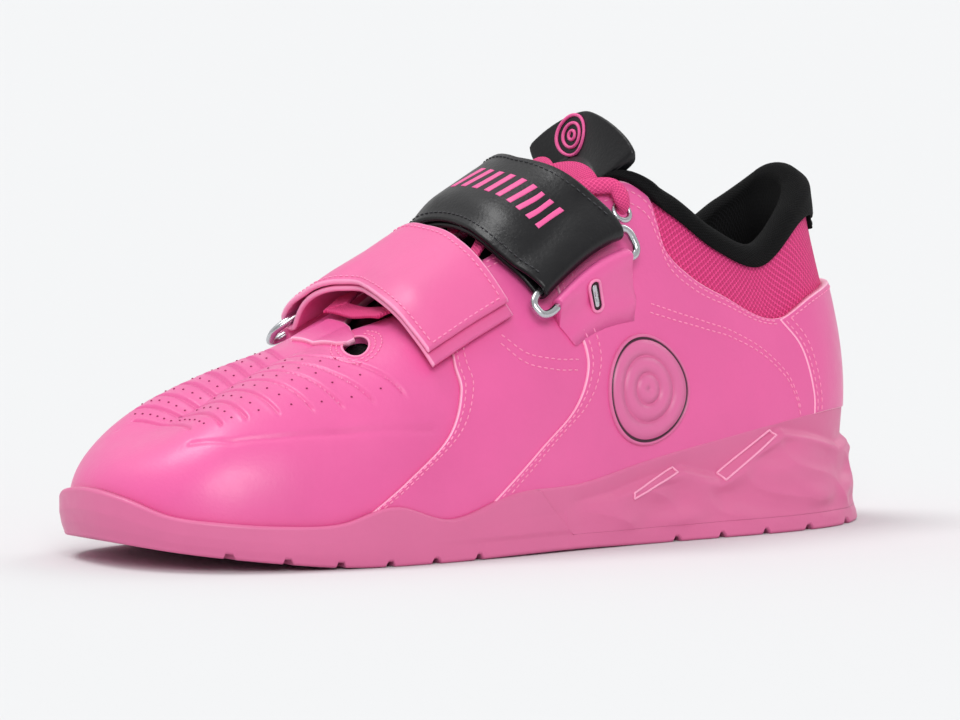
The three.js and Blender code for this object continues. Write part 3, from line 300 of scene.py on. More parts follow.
class Nodes:
    """A material under construction, with short calls for the nodes that the looks share."""

    def __init__(self, name, colour, roughness, **sockets):
        self.material = bpy.data.materials.new(name)
        self.material.use_nodes = True
        self.tree = self.material.node_tree
        self.shader = self.tree.nodes["Principled BSDF"]
        self.set(self.shader, "Base Color", linear(colour))
        self.set(self.shader, "Roughness", roughness)
        for socket, value in sockets.items():
            self.set(self.shader, socket.replace("_", " "), value)

    def set(self, node, socket, value):
        target = node.inputs[socket]
        if isinstance(value, bpy.types.NodeSocket):
            self.tree.links.new(value, target)
        else:
            target.default_value = value

    def add(self, kind, output=0, **settings):
        node = self.tree.nodes.new(kind)
        inputs = settings.pop("inputs", {})
        for key, value in settings.items():
            setattr(node, key, value)
        for socket, value in inputs.items():
            self.set(node, socket, value)
        return node.outputs[output]

    def math(self, operation, a, b=0.0, c=0.0):
        return self.add("ShaderNodeMath", operation=operation, inputs={0: a, 1: b, 2: c})

    def place(self):
        return self.add("ShaderNodeTexCoord", output="Object")

    def uv(self):
        split = self.tree.nodes.new("ShaderNodeSeparateXYZ")
        self.set(split, "Vector", self.add("ShaderNodeTexCoord", output="UV"))
        return split.outputs["X"], split.outputs["Y"]

    def noise(self, scale, detail=2.0, vector=None):
        inputs = {"Vector": vector or self.place(), "Scale": scale, "Detail": detail}
        return self.add("ShaderNodeTexNoise", inputs=inputs)

    def cells(self, scale, feature="F1"):
        return self.add("ShaderNodeTexVoronoi", output="Distance", feature=feature,
                        inputs={"Vector": self.place(), "Scale": scale})

    def blend(self, factor, a, b):
        node = self.tree.nodes.new("ShaderNodeMix")
        node.data_type = "RGBA"
        for socket, value in ((0, factor), (6, a), (7, b)):
            self.set(node, socket, value)
        return node.outputs[2]

    def clouded(self, colour, scale, shade):
        """A colour with slow changes down to a share of itself."""
        full = linear(colour)
        dim = [c * shade for c in full[:3]] + [1]
        return self.blend(self.spread(self.noise(scale, 3), 0.0, 1.0), dim, full)

    def toned(self, colour, other):
        """The colour, blended to another where the piece's tone asks for it."""
        tone = self.add("ShaderNodeAttribute", output="Fac", attribute_name="tone")
        return self.blend(tone, colour, linear(other))

    def spread(self, value, low, high, from_low=0.3, from_high=0.7):
        return self.add("ShaderNodeMapRange", inputs={
            "Value": value, "From Min": from_low, "From Max": from_high, "To Min": low, "To Max": high})

    def bump(self, height, distance, strength=1.0, normal=None):
        node = self.tree.nodes.new("ShaderNodeBump")
        self.set(node, "Height", height)
        self.set(node, "Distance", distance / 1000)
        self.set(node, "Strength", strength)
        if normal is not None:
            self.set(node, "Normal", normal)
        return node.outputs[0]

    def finish(self, **sockets):
        for socket, value in sockets.items():
            self.set(self.shader, socket.replace("_", " "), value)
        return self.material


# Scales of the grain and of the slow changes of colour and gloss, in cycles to the metre
CLOUDS = 28
RUBBER_CLOUDS = 40
PEBBLES = 950
FIBRES = 2600
YARN = 2400
GLOSS_CLOUDS = 160


def leather(name, colour, roughness, edge, grain=0.06, coat=0.12, shine=0.5):
    """Smooth faced leather: fine pebbled grain, slow changes of colour and gloss, and a lighter cut edge."""
    n = Nodes(name, colour, roughness, Coat_Weight=coat, Coat_Roughness=0.3, Specular_IOR_Level=shine)
    tone = n.toned(n.clouded(colour, CLOUDS, 0.93), edge)
    pebble = n.math("MULTIPLY", n.cells(PEBBLES, "SMOOTH_F1"), 0.7)
    height = n.math("ADD", pebble, n.math("MULTIPLY", n.noise(FIBRES), 0.5))
    gloss = n.spread(n.noise(GLOSS_CLOUDS, 4), roughness - 0.05, roughness + 0.07)
    return n.finish(Base_Color=tone, Roughness=gloss, Normal=n.bump(height, grain))


def rubber(name, colour, roughness, mark=None):
    """Smooth rubber or thread; mark is the dark colour painted into its grooves as shade."""
    n = Nodes(name, colour, roughness)
    tone = n.clouded(colour, RUBBER_CLOUDS, 0.95)
    if mark is not None:
        tone = n.toned(tone, mark)
    gloss = n.spread(n.noise(220, 3), roughness - 0.05, roughness + 0.06)
    return n.finish(Base_Color=tone, Roughness=gloss, Normal=n.bump(n.noise(1500, 3), 0.035))


def woven(name, colour, shade, pitch, roughness=0.8, depth=0.35, **sockets):
    """An open mesh: rows of round pores between raised yarns, with the pitch in millimetres of the UV map."""
    n = Nodes(name, colour, roughness, **sockets)
    u, v = n.uv()
    turn = 2 * math.pi / pitch
    diagonal = n.math("SINE", n.math("MULTIPLY", n.math("ADD", u, v), turn / 2))
    counter = n.math("SINE", n.math("MULTIPLY", n.math("SUBTRACT", u, v), turn / 2))
    yarn = n.math("ABSOLUTE", n.math("MULTIPLY", diagonal, counter))
    pore = n.spread(yarn, 0.0, 1.0, 0.15, 0.6)
    tone = n.blend(pore, linear(colour), linear(shade))
    strand = n.math("MULTIPLY", n.noise(YARN), 0.3)
    height = n.math("SUBTRACT", strand, pore)
    return n.finish(Base_Color=tone, Normal=n.bump(height, depth))


def metal(name, colour, roughness):
    n = Nodes(name, colour, roughness, Metallic=1.0)
    gloss = n.spread(n.noise(500, 3), roughness - 0.06, roughness + 0.1)
    return n.finish(Roughness=gloss, Normal=n.bump(n.noise(1800, 2), 0.01))


PINK = 0xE55C9E
CUT_PINK = 0xFFB3D2
pink_leather = leather("pink_leather", PINK, 0.4, edge=CUT_PINK, coat=0.25)
strap_leather = leather("pink_strap_leather", 0xE2609B, 0.42, edge=0xF59AC2, coat=0.2)
black_leather = leather("black_leather", 0x0E0E11, 0.36, edge=0x060607, grain=0.09, coat=0.1, shine=0.3)
pink_mesh = woven("pink_mesh", 0xF2468F, 0xCB2A6E, 2.1)
black_mesh = woven("black_mesh", 0x0D0D0F, 0x020202, 2.0, depth=0.25, Specular_IOR_Level=0.15)
lace_cloth = woven("pink_lace", 0xEE4B8C, 0xCB2F72, 1.2, depth=0.15)
sole_rubber = rubber("sole_rubber", 0xD86A99, 0.42)
# The badge's mark colour is painted shade in the bed of its outer groove
badge_rubber = rubber("badge_rubber", 0xDB6B9E, 0.4, mark=0x3B1228)
# Light pink of the relief frames: painted highlight on glossy chamfers
highlight_rubber = rubber("highlight_rubber", 0xF6A3C6, 0.25)
steel = metal("ring_steel", 0xC4C6CA, 0.22)
# Colour of the slots' dark beds: painted shadow inside the recess
dark_slot = rubber("slot_shadow", 0x2A0F1C, 0.8)
thread_pink = rubber("pink_thread", 0xF78DBA, 0.6)
thread_black = rubber("black_thread", 0x2C2C30, 0.55)
mark_pink = rubber("pink_mark", 0xE8599A, 0.45)
# Dark pink of the rib holes: painted shade inside each hole
hole_shade_pink = rubber("hole_shade_pink", 0x8E1F50, 0.8)


# The line over the instep, sampled once as a table of rows and arc distances
ROW_PITCH, SPAN_PITCH = 0.025, 0.5
ARCH_ROWS = np.arange(5.3, 11.0, ROW_PITCH)
ARCH_SPAN = np.arange(-125.0, 125.5, SPAN_PITCH)
WALL_SAMPLES = 64
BRIDGE_SAMPLES = 24
BRIDGE_PULL = 0.5


def arch_line(row):
    v = np.linspace(0, 1, WALL_SAMPLES + 1)
    outer, inner = skin(row, 1, v), skin(row, -1, v)[::-1]
    a, b = outer[-1], inner[0]
    gap = np.linalg.norm(b - a)
    line = np.concatenate([outer, inner[1:]])
    first, last = WALL_SAMPLES, WALL_SAMPLES
    if gap > 1:
        rise = unit(a - outer[-5]) * gap * BRIDGE_PULL
        fall = unit(b - inner[4]) * gap * BRIDGE_PULL
        bridge = bezier(a, a + rise, b + fall, b, np.linspace(0, 1, BRIDGE_SAMPLES)[1:-1, None])
        line = np.concatenate([outer, bridge, inner])
        last = len(outer) + len(bridge)
    lengths = np.concatenate([[0], np.cumsum(np.linalg.norm(np.diff(line, axis=0), axis=1))])
    middle = (lengths[first] + lengths[last]) / 2
    place = middle - ARCH_SPAN
    return [np.interp(place, lengths, line[:, k]) for k in range(3)], (lengths[last] - lengths[first]) / 2


ARCH_LINES = [arch_line(row) for row in ARCH_ROWS]
ARCH = np.array([line for line, _ in ARCH_LINES]).transpose(0, 2, 1)
HALF_GAPS = np.array([half for _, half in ARCH_LINES])
ROW_STEP, SPAN_STEP = 2, 3
ARCH_NORMALS = unit(np.cross(
    np.roll(ARCH, -ROW_STEP, 0) - np.roll(ARCH, ROW_STEP, 0),
    np.roll(ARCH, -SPAN_STEP, 1) - np.roll(ARCH, SPAN_STEP, 1)))


def half_gap(row):
    """Half the width of the open throat at a row."""
    return np.interp(row, ARCH_ROWS, HALF_GAPS)


def arch_point(row, a, out):
    """A point over the instep: at a row, at the arc distance a from its middle, and out from the skin."""
    row, a, out = even(row, a, out)
    r = np.clip((row - ARCH_ROWS[0]) / ROW_PITCH, ROW_STEP, len(ARCH_ROWS) - ROW_STEP - 2)
    q = np.clip((a - ARCH_SPAN[0]) / SPAN_PITCH, SPAN_STEP, len(ARCH_SPAN) - SPAN_STEP - 2)
    i, j = r.astype(int), q.astype(int)
    s, t = (r - i)[..., None], (q - j)[..., None]

    def read(table):
        low = mix(table[i, j], table[i, j + 1], t)
        high = mix(table[i + 1, j], table[i + 1, j + 1], t)
        return mix(low, high, s)

    return read(ARCH) + unit(read(ARCH_NORMALS)) * out[..., None]


# Stitches: rows of short raised threads along a path that lies on a surface
THREADS = {}
THREAD_RINGS = [(-0.5, 0.25), (-0.42, 0.8), (-0.15, 1.0), (0.15, 1.0), (0.42, 0.8), (0.5, 0.25)]
THREAD_SIDES = 6
THREAD_SLOPE = 0.4


def stitch(group, points, normals, pitch=2.3, length=1.5, radius=0.27):
    """Adds a row of threads to a group; each group becomes one piece at the end."""
    points, normals = np.asarray(points), np.asarray(normals)
    run = np.concatenate([[0], np.cumsum(np.linalg.norm(np.diff(points, axis=0), axis=1))])
    count = int(run[-1] / pitch)
    if count < 1:
        return
    place = (np.arange(count) + 0.5) * run[-1] / count

    def at(table, s):
        return np.stack([np.interp(s, run, table[:, k]) for k in range(3)], -1)

    centre = at(points, place)
    tangent = unit(at(points, place + THREAD_SLOPE) - at(points, place - THREAD_SLOPE))
    up = at(normals, place)
    up = unit(up - tangent * (up * tangent).sum(-1, keepdims=True))
    across = np.cross(tangent, up)
    shape = np.array([[s * length, r * radius * math.cos(a), r * radius * math.sin(a)]
                      for s, r in THREAD_RINGS for a in circle(THREAD_SIDES)])
    made = (centre[:, None] + shape[None, :, :1] * tangent[:, None] + shape[None, :, 1:2] * across[:, None]
            + shape[None, :, 2:] * up[:, None])
    THREADS.setdefault(group, []).append(made.reshape(-1, len(shape), 3))


def sew(group, look, slot):
    """Turns a group of threads into one piece."""
    made = np.concatenate(THREADS[group])
    count, size, _ = made.shape
    one = np.concatenate(rod_faces(len(THREAD_RINGS), THREAD_SIDES))
    faces = (one[None] + np.arange(count)[:, None, None] * size).reshape(-1, 4)
    return make(group, made, [faces], look, slot, weld=0.0001)


# A closed leaf between a top and a bottom grid, with its top rounded down at the edges
LEAF_PITCH = 1.3
LEAF_EDGE = np.array([0, 0.12, 0.45, 1.0])


def leaf(name, surface, across, up, low, high, look, slot, nodes=(), round_off=0.55, uv_size=(60, 60)):
    """surface(s, t, out) gives points; across and up are sizes in millimetres that set the steps."""
    def steps(size):
        edge = LEAF_EDGE * round_off / size
        inner = np.linspace(edge[-1], 1 - edge[-1], max(3, int(size / LEAF_PITCH)))
        return np.concatenate([edge[:-1], inner, 1 - edge[:-1][::-1]])

    s, t = np.meshgrid(steps(across), steps(up), indexing="ij")
    near = np.minimum(np.minimum(s, 1 - s) * across, np.minimum(t, 1 - t) * up) / round_off
    near = np.clip(near, 0, 1)
    fall = round_off * (1 - np.sqrt(np.maximum(0, 1 - (1 - near) ** 2)))
    sheets = [surface(s, t, high - fall), surface(s, t, np.full(s.shape, low))]
    uv = np.stack([s * uv_size[0], t * uv_size[1]], -1)
    tones = [(near < 0.5) * 1.0, np.ones(s.shape)]
    return make(name, sheets, slab_faces(*s.shape), look, slot, nodes, [uv, uv], tones)


# Panels laid on the upper: four seams of [row, lift] stops, blended over the area between them
PANEL_LOW = -0.1
MID_TOP = 1.3
QUARTER_TOP = 2.1
COUNTER_TOP = 2.5
TUCK = 0.12
VAMP_SEAM = [[9.5, 0], [8.75, 0.17], [8.1, 0.27], [7.95, 0.4], [8.1, 0.52], [8.3, 0.76], [8.5, 0.97]]
QUARTER_SEAM = [[7.43, 0], [6.67, 0.15], [6.18, 0.22], [6.0, 0.31], [6.08, 0.4], [6.45, 0.53], [6.75, 0.74],
                [6.9, 0.96]]
COUNTER_SEAM = [[2.35, 0], [2.36, 0.22], [2.5, 0.45], [2.8, 0.64]]
MESH_LINE = [[6.9, 0.96], [6.1, 0.975], [5.45, 0.975], [5.2, 0.9], [4.95, 0.79], [4.5, 0.745], [3.75, 0.725],
             [2.8, 0.64]]
HEEL_LINE = [[2.8, 0.64], [1.9, 0.63], [1, 0.61], [0, 0.6], [-1, 0.61], [-1.9, 0.63], [-2.8, 0.64]]

# The sole, a row for each row of the last: its edge's height, its bottom's flare and its lift off the floor
SOLE_ROWS = np.array([
    [37.5, 8.5, 0], [37.5, 8.2, 0], [37.8, 8.2, 0], [35.2, 9.2, 0], [30.7, 8.6, 0], [25.8, 6.6, 0],
    [20.6, 5.2, 0.5], [19.6, 4.4, 0.4], [13.2, 3.6, 0], [18.1, 2.8, 0], [13.8, 2.0, 0.6], [13.8, 1.8, 2.4],
    [15.2, 1.6, 4.4], [17.0, 1.5, 6.0], [21.6, 1.4, 7.4], [23.6, 1.4, 8.2],
])
SOLE = {name: SOLE_ROWS[:, k] for k, name in enumerate(["edge", "flare", "lift"])}

# The highest lift on the skin that lift_at_height looks for, and how often it halves the range
HIGHEST_LIFT = 0.6
LIFT_HALVINGS = 22


def sole_value(name, row, side):
    row, side = wrap(row, side)
    return along(SOLE[name], SOLE[name], row, side)


def lift_at_height(row, side, height):
    """The lift at which the skin reaches a height."""
    row, side, height = even(row, side, height)
    low, high = np.zeros(row.shape), np.full(row.shape, HIGHEST_LIFT)
    for _ in range(LIFT_HALVINGS):
        middle = (low + high) / 2
        under = skin(row, side, middle)[..., 2] < height
        low, high = np.where(under, middle, low), np.where(under, high, middle)
    return high


def rim_lift(row, side):
    return lift_at_height(row, side, sole_value("edge", row, side) - 1.0)


def chain(stops):
    """A smooth curve through the stops, as a function of t from 0 to 1."""
    stops = np.asarray(stops, float)
    ends = np.concatenate([[2 * stops[0] - stops[1]], stops, [2 * stops[-1] - stops[-2]]])

    def at(t):
        place = np.clip(np.asarray(t, float), 0, 1) * (len(stops) - 1)
        k = np.minimum(place.astype(int), len(stops) - 2)
        return spline(ends[k], ends[k + 1], ends[k + 2], ends[k + 3], (place - k)[..., None])

    return at


def from_rim(seam, side, shift):
    start = seam[0][0] + shift
    stops = [[start, float(rim_lift(start, side))]]
    return stops + [[row + shift, v] for row, v in seam[1:]]


def rim_chain(start, end, side, steps):
    rows = np.linspace(start, end, steps + 1)
    return np.stack([rows, rim_lift(rows, side)], -1)


def coons(bottom, top, front, rear):
    """Blends four boundary curves; gives (row, lift) at s and t."""
    bottom, top, front, rear = chain(bottom), chain(top), chain(front), chain(rear)

    def at(s, t):
        edges = mix(bottom(s), top(s), t[..., None]) + mix(front(t), rear(t), s[..., None])
        low = mix(front(0 * t), rear(0 * t), s[..., None])
        high = mix(front(0 * t + 1), rear(0 * t + 1), s[..., None])
        return edges - mix(low, high, t[..., None])

    return at


def panel(name, chains, side, size, high, nodes, look=None, slot="pink_leather"):
    """A panel on the skin; returns its surface function for what is sewn on it."""
    blend = coons(**chains)

    def surface(s, t, out):
        place = blend(np.asarray(s, float), np.asarray(t, float))
        return skin_point(place[..., 0], side, place[..., 1], out)

    leaf(name, surface, size[0], size[1], PANEL_LOW, high, look or pink_leather, slot, nodes)
    return surface


def seam_rows(group, surface, axis, at, size, insets, high, start=0.0, end=1.0, **thread):
    """Rows of stitches along one edge of a panel: axis 0 follows s and axis 1 follows t."""
    run = np.linspace(start, end, 160)
    for inset in insets:
        cross = np.full(run.shape, at + (inset / size if at < 0.5 else -inset / size))
        s, t = (run, cross) if axis == 0 else (cross, run)
        on = surface(s, t, np.full(run.shape, high + 0.05))
        under = surface(s, t, np.full(run.shape, high - 0.95))
        stitch(group, on, on - under, **thread)


def mid_panel(side, word):
    front, rear = from_rim(VAMP_SEAM, side, 0), from_rim(QUARTER_SEAM, side, -TUCK)
    chains = dict(bottom=rim_chain(front[0][0], rear[0][0], side, 6), top=[front[-1], rear[-1]],
                  front=front, rear=rear)
    name = f"mid_panel_{word}"
    surface = panel(name, chains, side, (48, 72), MID_TOP, [name])
    seam_rows("stitches_pink", surface, 1, 0.0, 50, (1.6, 4.4), MID_TOP, 0.02, 0.97)
    seam_rows("stitches_pink", surface, 0, 1.0, 72, (2.0, 4.2), MID_TOP, 0.03, 0.97)


def quarter_panel(side, word):
    front, rear = from_rim(QUARTER_SEAM, side, 0), from_rim(COUNTER_SEAM, side, -TUCK)
    top = MESH_LINE[:-1] + [rear[-1]]
    chains = dict(bottom=rim_chain(front[0][0], rear[0][0], side, 10), top=top, front=front, rear=rear)
    name = f"quarter_panel_{word}"
    surface = panel(name, chains, side, (115, 68), QUARTER_TOP, [name])
    seam_rows("stitches_pink", surface, 1, 0.0, 110, (1.6, 4.6), QUARTER_TOP, 0.02, 0.98)
    seam_rows("stitches_pink", surface, 0, 1.0, 68, (1.8, 4.0), QUARTER_TOP, 0.05, 0.97)


def heel_counter():
    front = from_rim(COUNTER_SEAM, 1, 0)
    rear = [[-row, v] for row, v in from_rim(COUNTER_SEAM, -1, 0)]
    top = [front[-1]] + HEEL_LINE[1:-1] + [rear[-1]]
    chains = dict(bottom=rim_chain(front[0][0], rear[0][0], 1, 12), top=top, front=front, rear=rear)
    surface = panel("heel_counter", chains, 1, (120, 40), COUNTER_TOP, ["heel_counter"])
    for at in (0.0, 1.0):
        seam_rows("stitches_pink", surface, 1, at, 120, (1.5, 3.9), COUNTER_TOP, 0.02, 0.97)
    seam_rows("stitches_pink", surface, 0, 1.0, 40, (1.8,), COUNTER_TOP, 0.03, 0.97)


def skin_rows(group, stops, side, gap, high, **thread):
    """A double row of stitches on the skin along stops of [row, lift], the second row below the first."""
    line = chain(stops)(np.linspace(0, 1, 200))
    for drop in (0, gap):
        row, v = line[:, 0], line[:, 1] - drop
        on = skin_point(row, side, v, np.full(row.shape, high + 0.05))
        stitch(group, on, skin_normal(row, side, v), **thread)


# Rows of stitches that follow no edge: the eyestay's foot on the middle panel and the arc on the quarter
EYESTAY_ROWS = [[7.42, 0.55], [7.0, 0.45], [6.49, 0.385], [6.12, 0.36]]
QUARTER_ARC = [[5.14, 0.565], [4.72, 0.565], [4.27, 0.572], [3.76, 0.565], [3.28, 0.51], [2.89, 0.38],
               [2.71, 0.26], [2.62, 0.16]]

for side, word in SIDES:
    mid_panel(side, word)
    quarter_panel(side, word)
    skin_rows("stitches_pink", EYESTAY_ROWS, side, 0.03, MID_TOP)
    skin_rows("stitches_pink", QUARTER_ARC, side, 0.032, QUARTER_TOP)
heel_counter()

# The tab over the back of the collar
TAB_ROWS = 1.1
TAB_LOW = 0.8
TAB_TOP = 1.5
tab_front = [[TAB_ROWS, TAB_LOW + 0.05], [TAB_ROWS, 0.98]]
tab_rear = [[-TAB_ROWS, TAB_LOW + 0.05], [-TAB_ROWS, 0.98]]
tab_chains = dict(bottom=[tab_front[0], [0, TAB_LOW], tab_rear[0]], top=[tab_front[1], tab_rear[1]],
                  front=tab_front, rear=tab_rear)
tab = panel("heel_tab", tab_chains, 1, (46, 18), TAB_TOP, ["heel_tab"], black_mesh, "black_leather")
seam_rows("stitches_black", tab, 1, 0.0, 18, (1.6,), TAB_TOP, 0.05, 0.95)


# The wall of the upper: the toe's leather in front and the collar's mesh behind
def wall_at(row, v):
    return WALL + 0.6 * smoothstep(6 - row, -0.5, 1.5) * v


RIB_TABLE = [[249, 251.7, 15.1], [243.5, 246.2, 24.3], [238, 239.4, 27.9], [232, 230.4, 31.9],
             [226, 219.9, 35.4], [220, 210.4, 37.4], [214, 200.8, 40.0], [208, 190.8, 41.9]]
RIB_DEPTH = 0.75
RIB_WIDTH = 0.46
RIB_LIP = 0.12
RIB_SLOPE = (0.32, 0.48)
RIB_CENTRE = -2
RIB_CURVE = 1.35
LIP_PLACE, LIP_WIDTH = 2.6, 1.5
FAR = 99.0
CREASE = np.array([[255.2, 20.5, 37.8], [246.6, 30.3, 38.4], [235.2, 35.7, 39.4], [215.1, 41.0, 40.1],
                   [185.0, 46.2, 40.1]])
CREASE_DEPTH = 0.6
CREASE_WIDTH = 1.1


def toe_relief(points, normals):
    """Ribs across the toe box, and the long soft crease below them on each side."""
    x, y = points[..., 0], points[..., 1]
    high = smoothstep(normals[..., 2], *RIB_SLOPE)
    relief = np.zeros(x.shape)
    for start, end_x, end_y in RIB_TABLE:
        part = np.abs(y - RIB_CENTRE) / (end_y - RIB_CENTRE)
        offset = (x - mix(start, end_x, np.clip(part, 0, 1.2) ** RIB_CURVE)) / RIB_WIDTH
        fade = smoothstep(1.0 - part, 0.0, 0.06)
        lip = np.exp(-((np.abs(offset) - LIP_PLACE) / LIP_WIDTH) ** 2)
        groove = RIB_DEPTH * np.exp(-offset**2) - RIB_LIP * lip
        relief -= groove * fade * high
    mirrored = points * np.where(y[..., None] < 0, [1, -1, 1], [1, 1, 1])
    gap = np.full(x.shape, FAR)
    for a, b in zip(CREASE[:-1], CREASE[1:]):
        t = np.clip(((mirrored - a) @ (b - a)) / ((b - a) @ (b - a)), 0, 1)
        gap = np.minimum(gap, np.linalg.norm(mirrored - (a + t[..., None] * (b - a)), axis=-1))
    return relief - CREASE_DEPTH * np.exp(-(gap / CREASE_WIDTH) ** 2)


UP_CROWDING = 0.8
INNER_LIFTS = 12
CUT_EDGE = 0.995
UV_PITCH = (25, 62)


def wall(name, q, lifts, look, slot, relief=None):
    """A stretch of the upper's wall at the signed rows q, which run on past heel or toe."""
    grid_q, grid_v = np.meshgrid(q, np.linspace(0, 1, lifts) ** UP_CROWDING, indexing="ij")
    row, side = wrap(grid_q, 1.0)
    outer, normal = skin(row, side, grid_v), skin_normal(row, side, grid_v)
    closed = (row[:, -1] >= RIDGE_ROW - 1e-9)[:, None]
    normal[:, -1] = np.where(closed, unit(normal[:, -1] + normal[::-1, -1]), normal[:, -1])
    if relief is not None:
        outer = outer + normal * relief(outer, normal)[..., None]
    inner_q, inner_v = np.meshgrid(q, np.linspace(0, 1, INNER_LIFTS), indexing="ij")
    row, side = wrap(inner_q, 1.0)
    inner = skin_point(row, side, inner_v, -wall_at(row, inner_v))
    inner[:, -1] = np.where(closed, (inner[:, -1] + inner[::-1, -1]) / 2, inner[:, -1])
    count = outer.size // 3
    points = np.concatenate([outer.reshape(-1, 3), inner.reshape(-1, 3)])
    uv = [np.stack([a, b], -1).reshape(-1, 2) * UV_PITCH for a, b in ((grid_q, grid_v), (inner_q, inner_v))]
    out_index = np.arange(count).reshape(len(q), lifts)
    in_index = count + np.arange(inner.size // 3).reshape(len(q), INNER_LIFTS)
    top = np.stack([out_index[:-1, -1], out_index[1:, -1], in_index[1:, -1], in_index[:-1, -1]], -1)
    low = np.stack([in_index[:-1, 0], in_index[1:, 0], out_index[1:, 0], out_index[:-1, 0]], -1)
    faces = [grid_faces(len(q), lifts), grid_faces(len(q), INNER_LIFTS, start=count)[:, ::-1], low,
             top[~(closed[:-1] & closed[1:])[:, 0]]]
    tone = np.concatenate([((grid_v > CUT_EDGE) & ~closed).ravel() * 1.0, np.zeros(inner.size // 3)])
    return make(name, points, faces, look, slot, ["upper"], np.concatenate(uv), tone), outer, normal


TOE_STOPS = [7.2, 8.5, 13.6, TOE_ROW]
TOE_STEPS = [27, 281, 50]
TOE_LIFTS = 111
COLLAR_ROW = 7.4

toe_rows = there_and_back(stepped(TOE_STOPS, TOE_STEPS))
toe, toe_skin, toe_normals = wall(
    "toe_leather", toe_rows, TOE_LIFTS, pink_leather, "pink_leather", toe_relief)
wall("collar_mesh", np.linspace(-COLLAR_ROW, COLLAR_ROW, 371), 48, pink_mesh, "pink_mesh")


# Small flat or round things are laid out in millimetres on a face: face(u, v) gives its points.
FACE_STEP = 0.004


def face_frame(face, u, v, outside):
    """Gives points at x, y and out round u, v; outside is a direction that tells which way is out."""
    h = FACE_STEP
    run = (face(u + h, v) - face(u - h, v)) / (2 * h)
    rise = (face(u, v + h) - face(u, v - h)) / (2 * h)
    along_run = unit(run)
    across = rise - along_run * (rise @ along_run)
    sign = np.sign(np.cross(run, rise) @ np.asarray(outside, float))

    def at(x, y, out):
        b = v + y / np.linalg.norm(across)
        a = u + (x - (b - v) * (rise @ along_run)) / np.linalg.norm(run)
        normal = unit(np.cross(face(a + h, b) - face(a - h, b), face(a, b + h) - face(a, b - h)))
        return face(a, b) + sign * normal * np.asarray(out)[..., None]

    return at


def smoothed(place, radius):
    """The same frame with the face under it smoothed to a quadratic over a disc."""
    def terms(x, y):
        return np.stack([x * 0 + 1, x, y, x * x, x * y, y * y], -1)

    x, y = np.meshgrid(np.linspace(-radius, radius, 9), np.linspace(-radius, radius, 9))
    fit = np.linalg.lstsq(terms(x, y).reshape(-1, 6), place(x, y, 0 * x).reshape(-1, 3), rcond=None)[0]
    zero = np.zeros(1)
    outside = (place(zero, zero, zero + 1) - place(zero, zero, zero))[0]

    def at(x, y, out):
        x, y, out = np.broadcast_arrays(x, y, np.asarray(out, float))
        one, none = x * 0 + 1, x * 0
        run = np.stack([none, one, none, 2 * x, y, none], -1) @ fit
        rise = np.stack([none, none, one, none, x, 2 * y], -1) @ fit
        normal = unit(np.cross(run, rise))
        return terms(x, y) @ fit + normal * np.sign(normal @ outside)[..., None] * out[..., None]

    return at


def turned(name, at, profile, look, slot, nodes=(), count=64, marks=()):
    """A turned piece: a closed profile of [radius, out] pairs swept round a frame; marks are points coloured
    dark, standing for painted shade in a groove.
    """
    angle = circle(count)[:, None]
    r, out = np.asarray(profile, float).T[:, None]
    points = at(r * np.cos(angle), r * np.sin(angle), np.broadcast_to(out, (count, len(profile))))
    tone = np.zeros(points.shape[:2])
    tone[:, list(marks)] = 1
    return make(name, points, [grid_faces(count, len(profile), True, True)], look, slot, nodes, tones=tone)


def annulus(inner, outer, low, high):
    """The profile of a flat raised ring with softened edges."""
    soft = min(0.25, (outer - inner) / 4)
    return [[inner, low], [inner, high - soft], [inner + soft, high],
            [outer - soft, high], [outer, high - soft], [outer, low]]


# Small holes punched between the ribs, drawn as dark pink dots whose colour is painted shade inside the
# holes, set out along a line halfway between each pair
DOTS = 6
DOT_LENGTH = 0.75
DOT_RADIUS = 0.32
DOT_FIRST, DOT_REACH = 0.12, 0.78
DOT_RUN = np.array([[0, -0.5, 0], [0, 0.5, 0]])


def rib_holes():
    flat, normals = toe_skin.reshape(-1, 3), toe_normals.reshape(-1, 3)
    upper = normals[:, 2] > RIB_SLOPE[0]
    flat, normals = flat[upper], normals[upper]
    for (a, end_a, y_a), (b, end_b, y_b) in zip(RIB_TABLE[:-1], RIB_TABLE[1:]):
        for side in (1, -1):
            for k in range(DOTS):
                part = DOT_FIRST + DOT_REACH * k / (DOTS - 1)
                x = (mix(a, end_a, part**RIB_CURVE) + mix(b, end_b, part**RIB_CURVE)) / 2
                y = side * (part * ((y_a + y_b) / 2 - RIB_CENTRE)) + RIB_CENTRE
                near = np.argmin((flat[:, 0] - x) ** 2 + (flat[:, 1] - y) ** 2)
                stitch("rib_holes", DOT_RUN + flat[near], np.tile(normals[near], (2, 1)), pitch=0.8,
                       length=DOT_LENGTH, radius=DOT_RADIUS)


rib_holes()

# The open eye at the front end of the throat, on the outer side, with black mesh under it
EYE = dict(row=9.67, v=0.8)
EYE_WIDE = 4.2
EYE_HIGH = 7.5
EYE_SIDES = 40
EYE_POINTS = 48
EYE_CUT = (6, 9)
EYE_SEWN = (1.9, 3.9)
EYE_BED = (2.9, 3.4)


def eye_frame():
    at = skin(EYE["row"], 1, EYE["v"])
    normal = skin_normal(EYE["row"], 1, EYE["v"])
    run = unit(skin(EYE["row"] + 0.1, 1, EYE["v"]) - at)
    return at, run * EYE_WIDE, np.cross(normal, run) * EYE_HIGH, normal


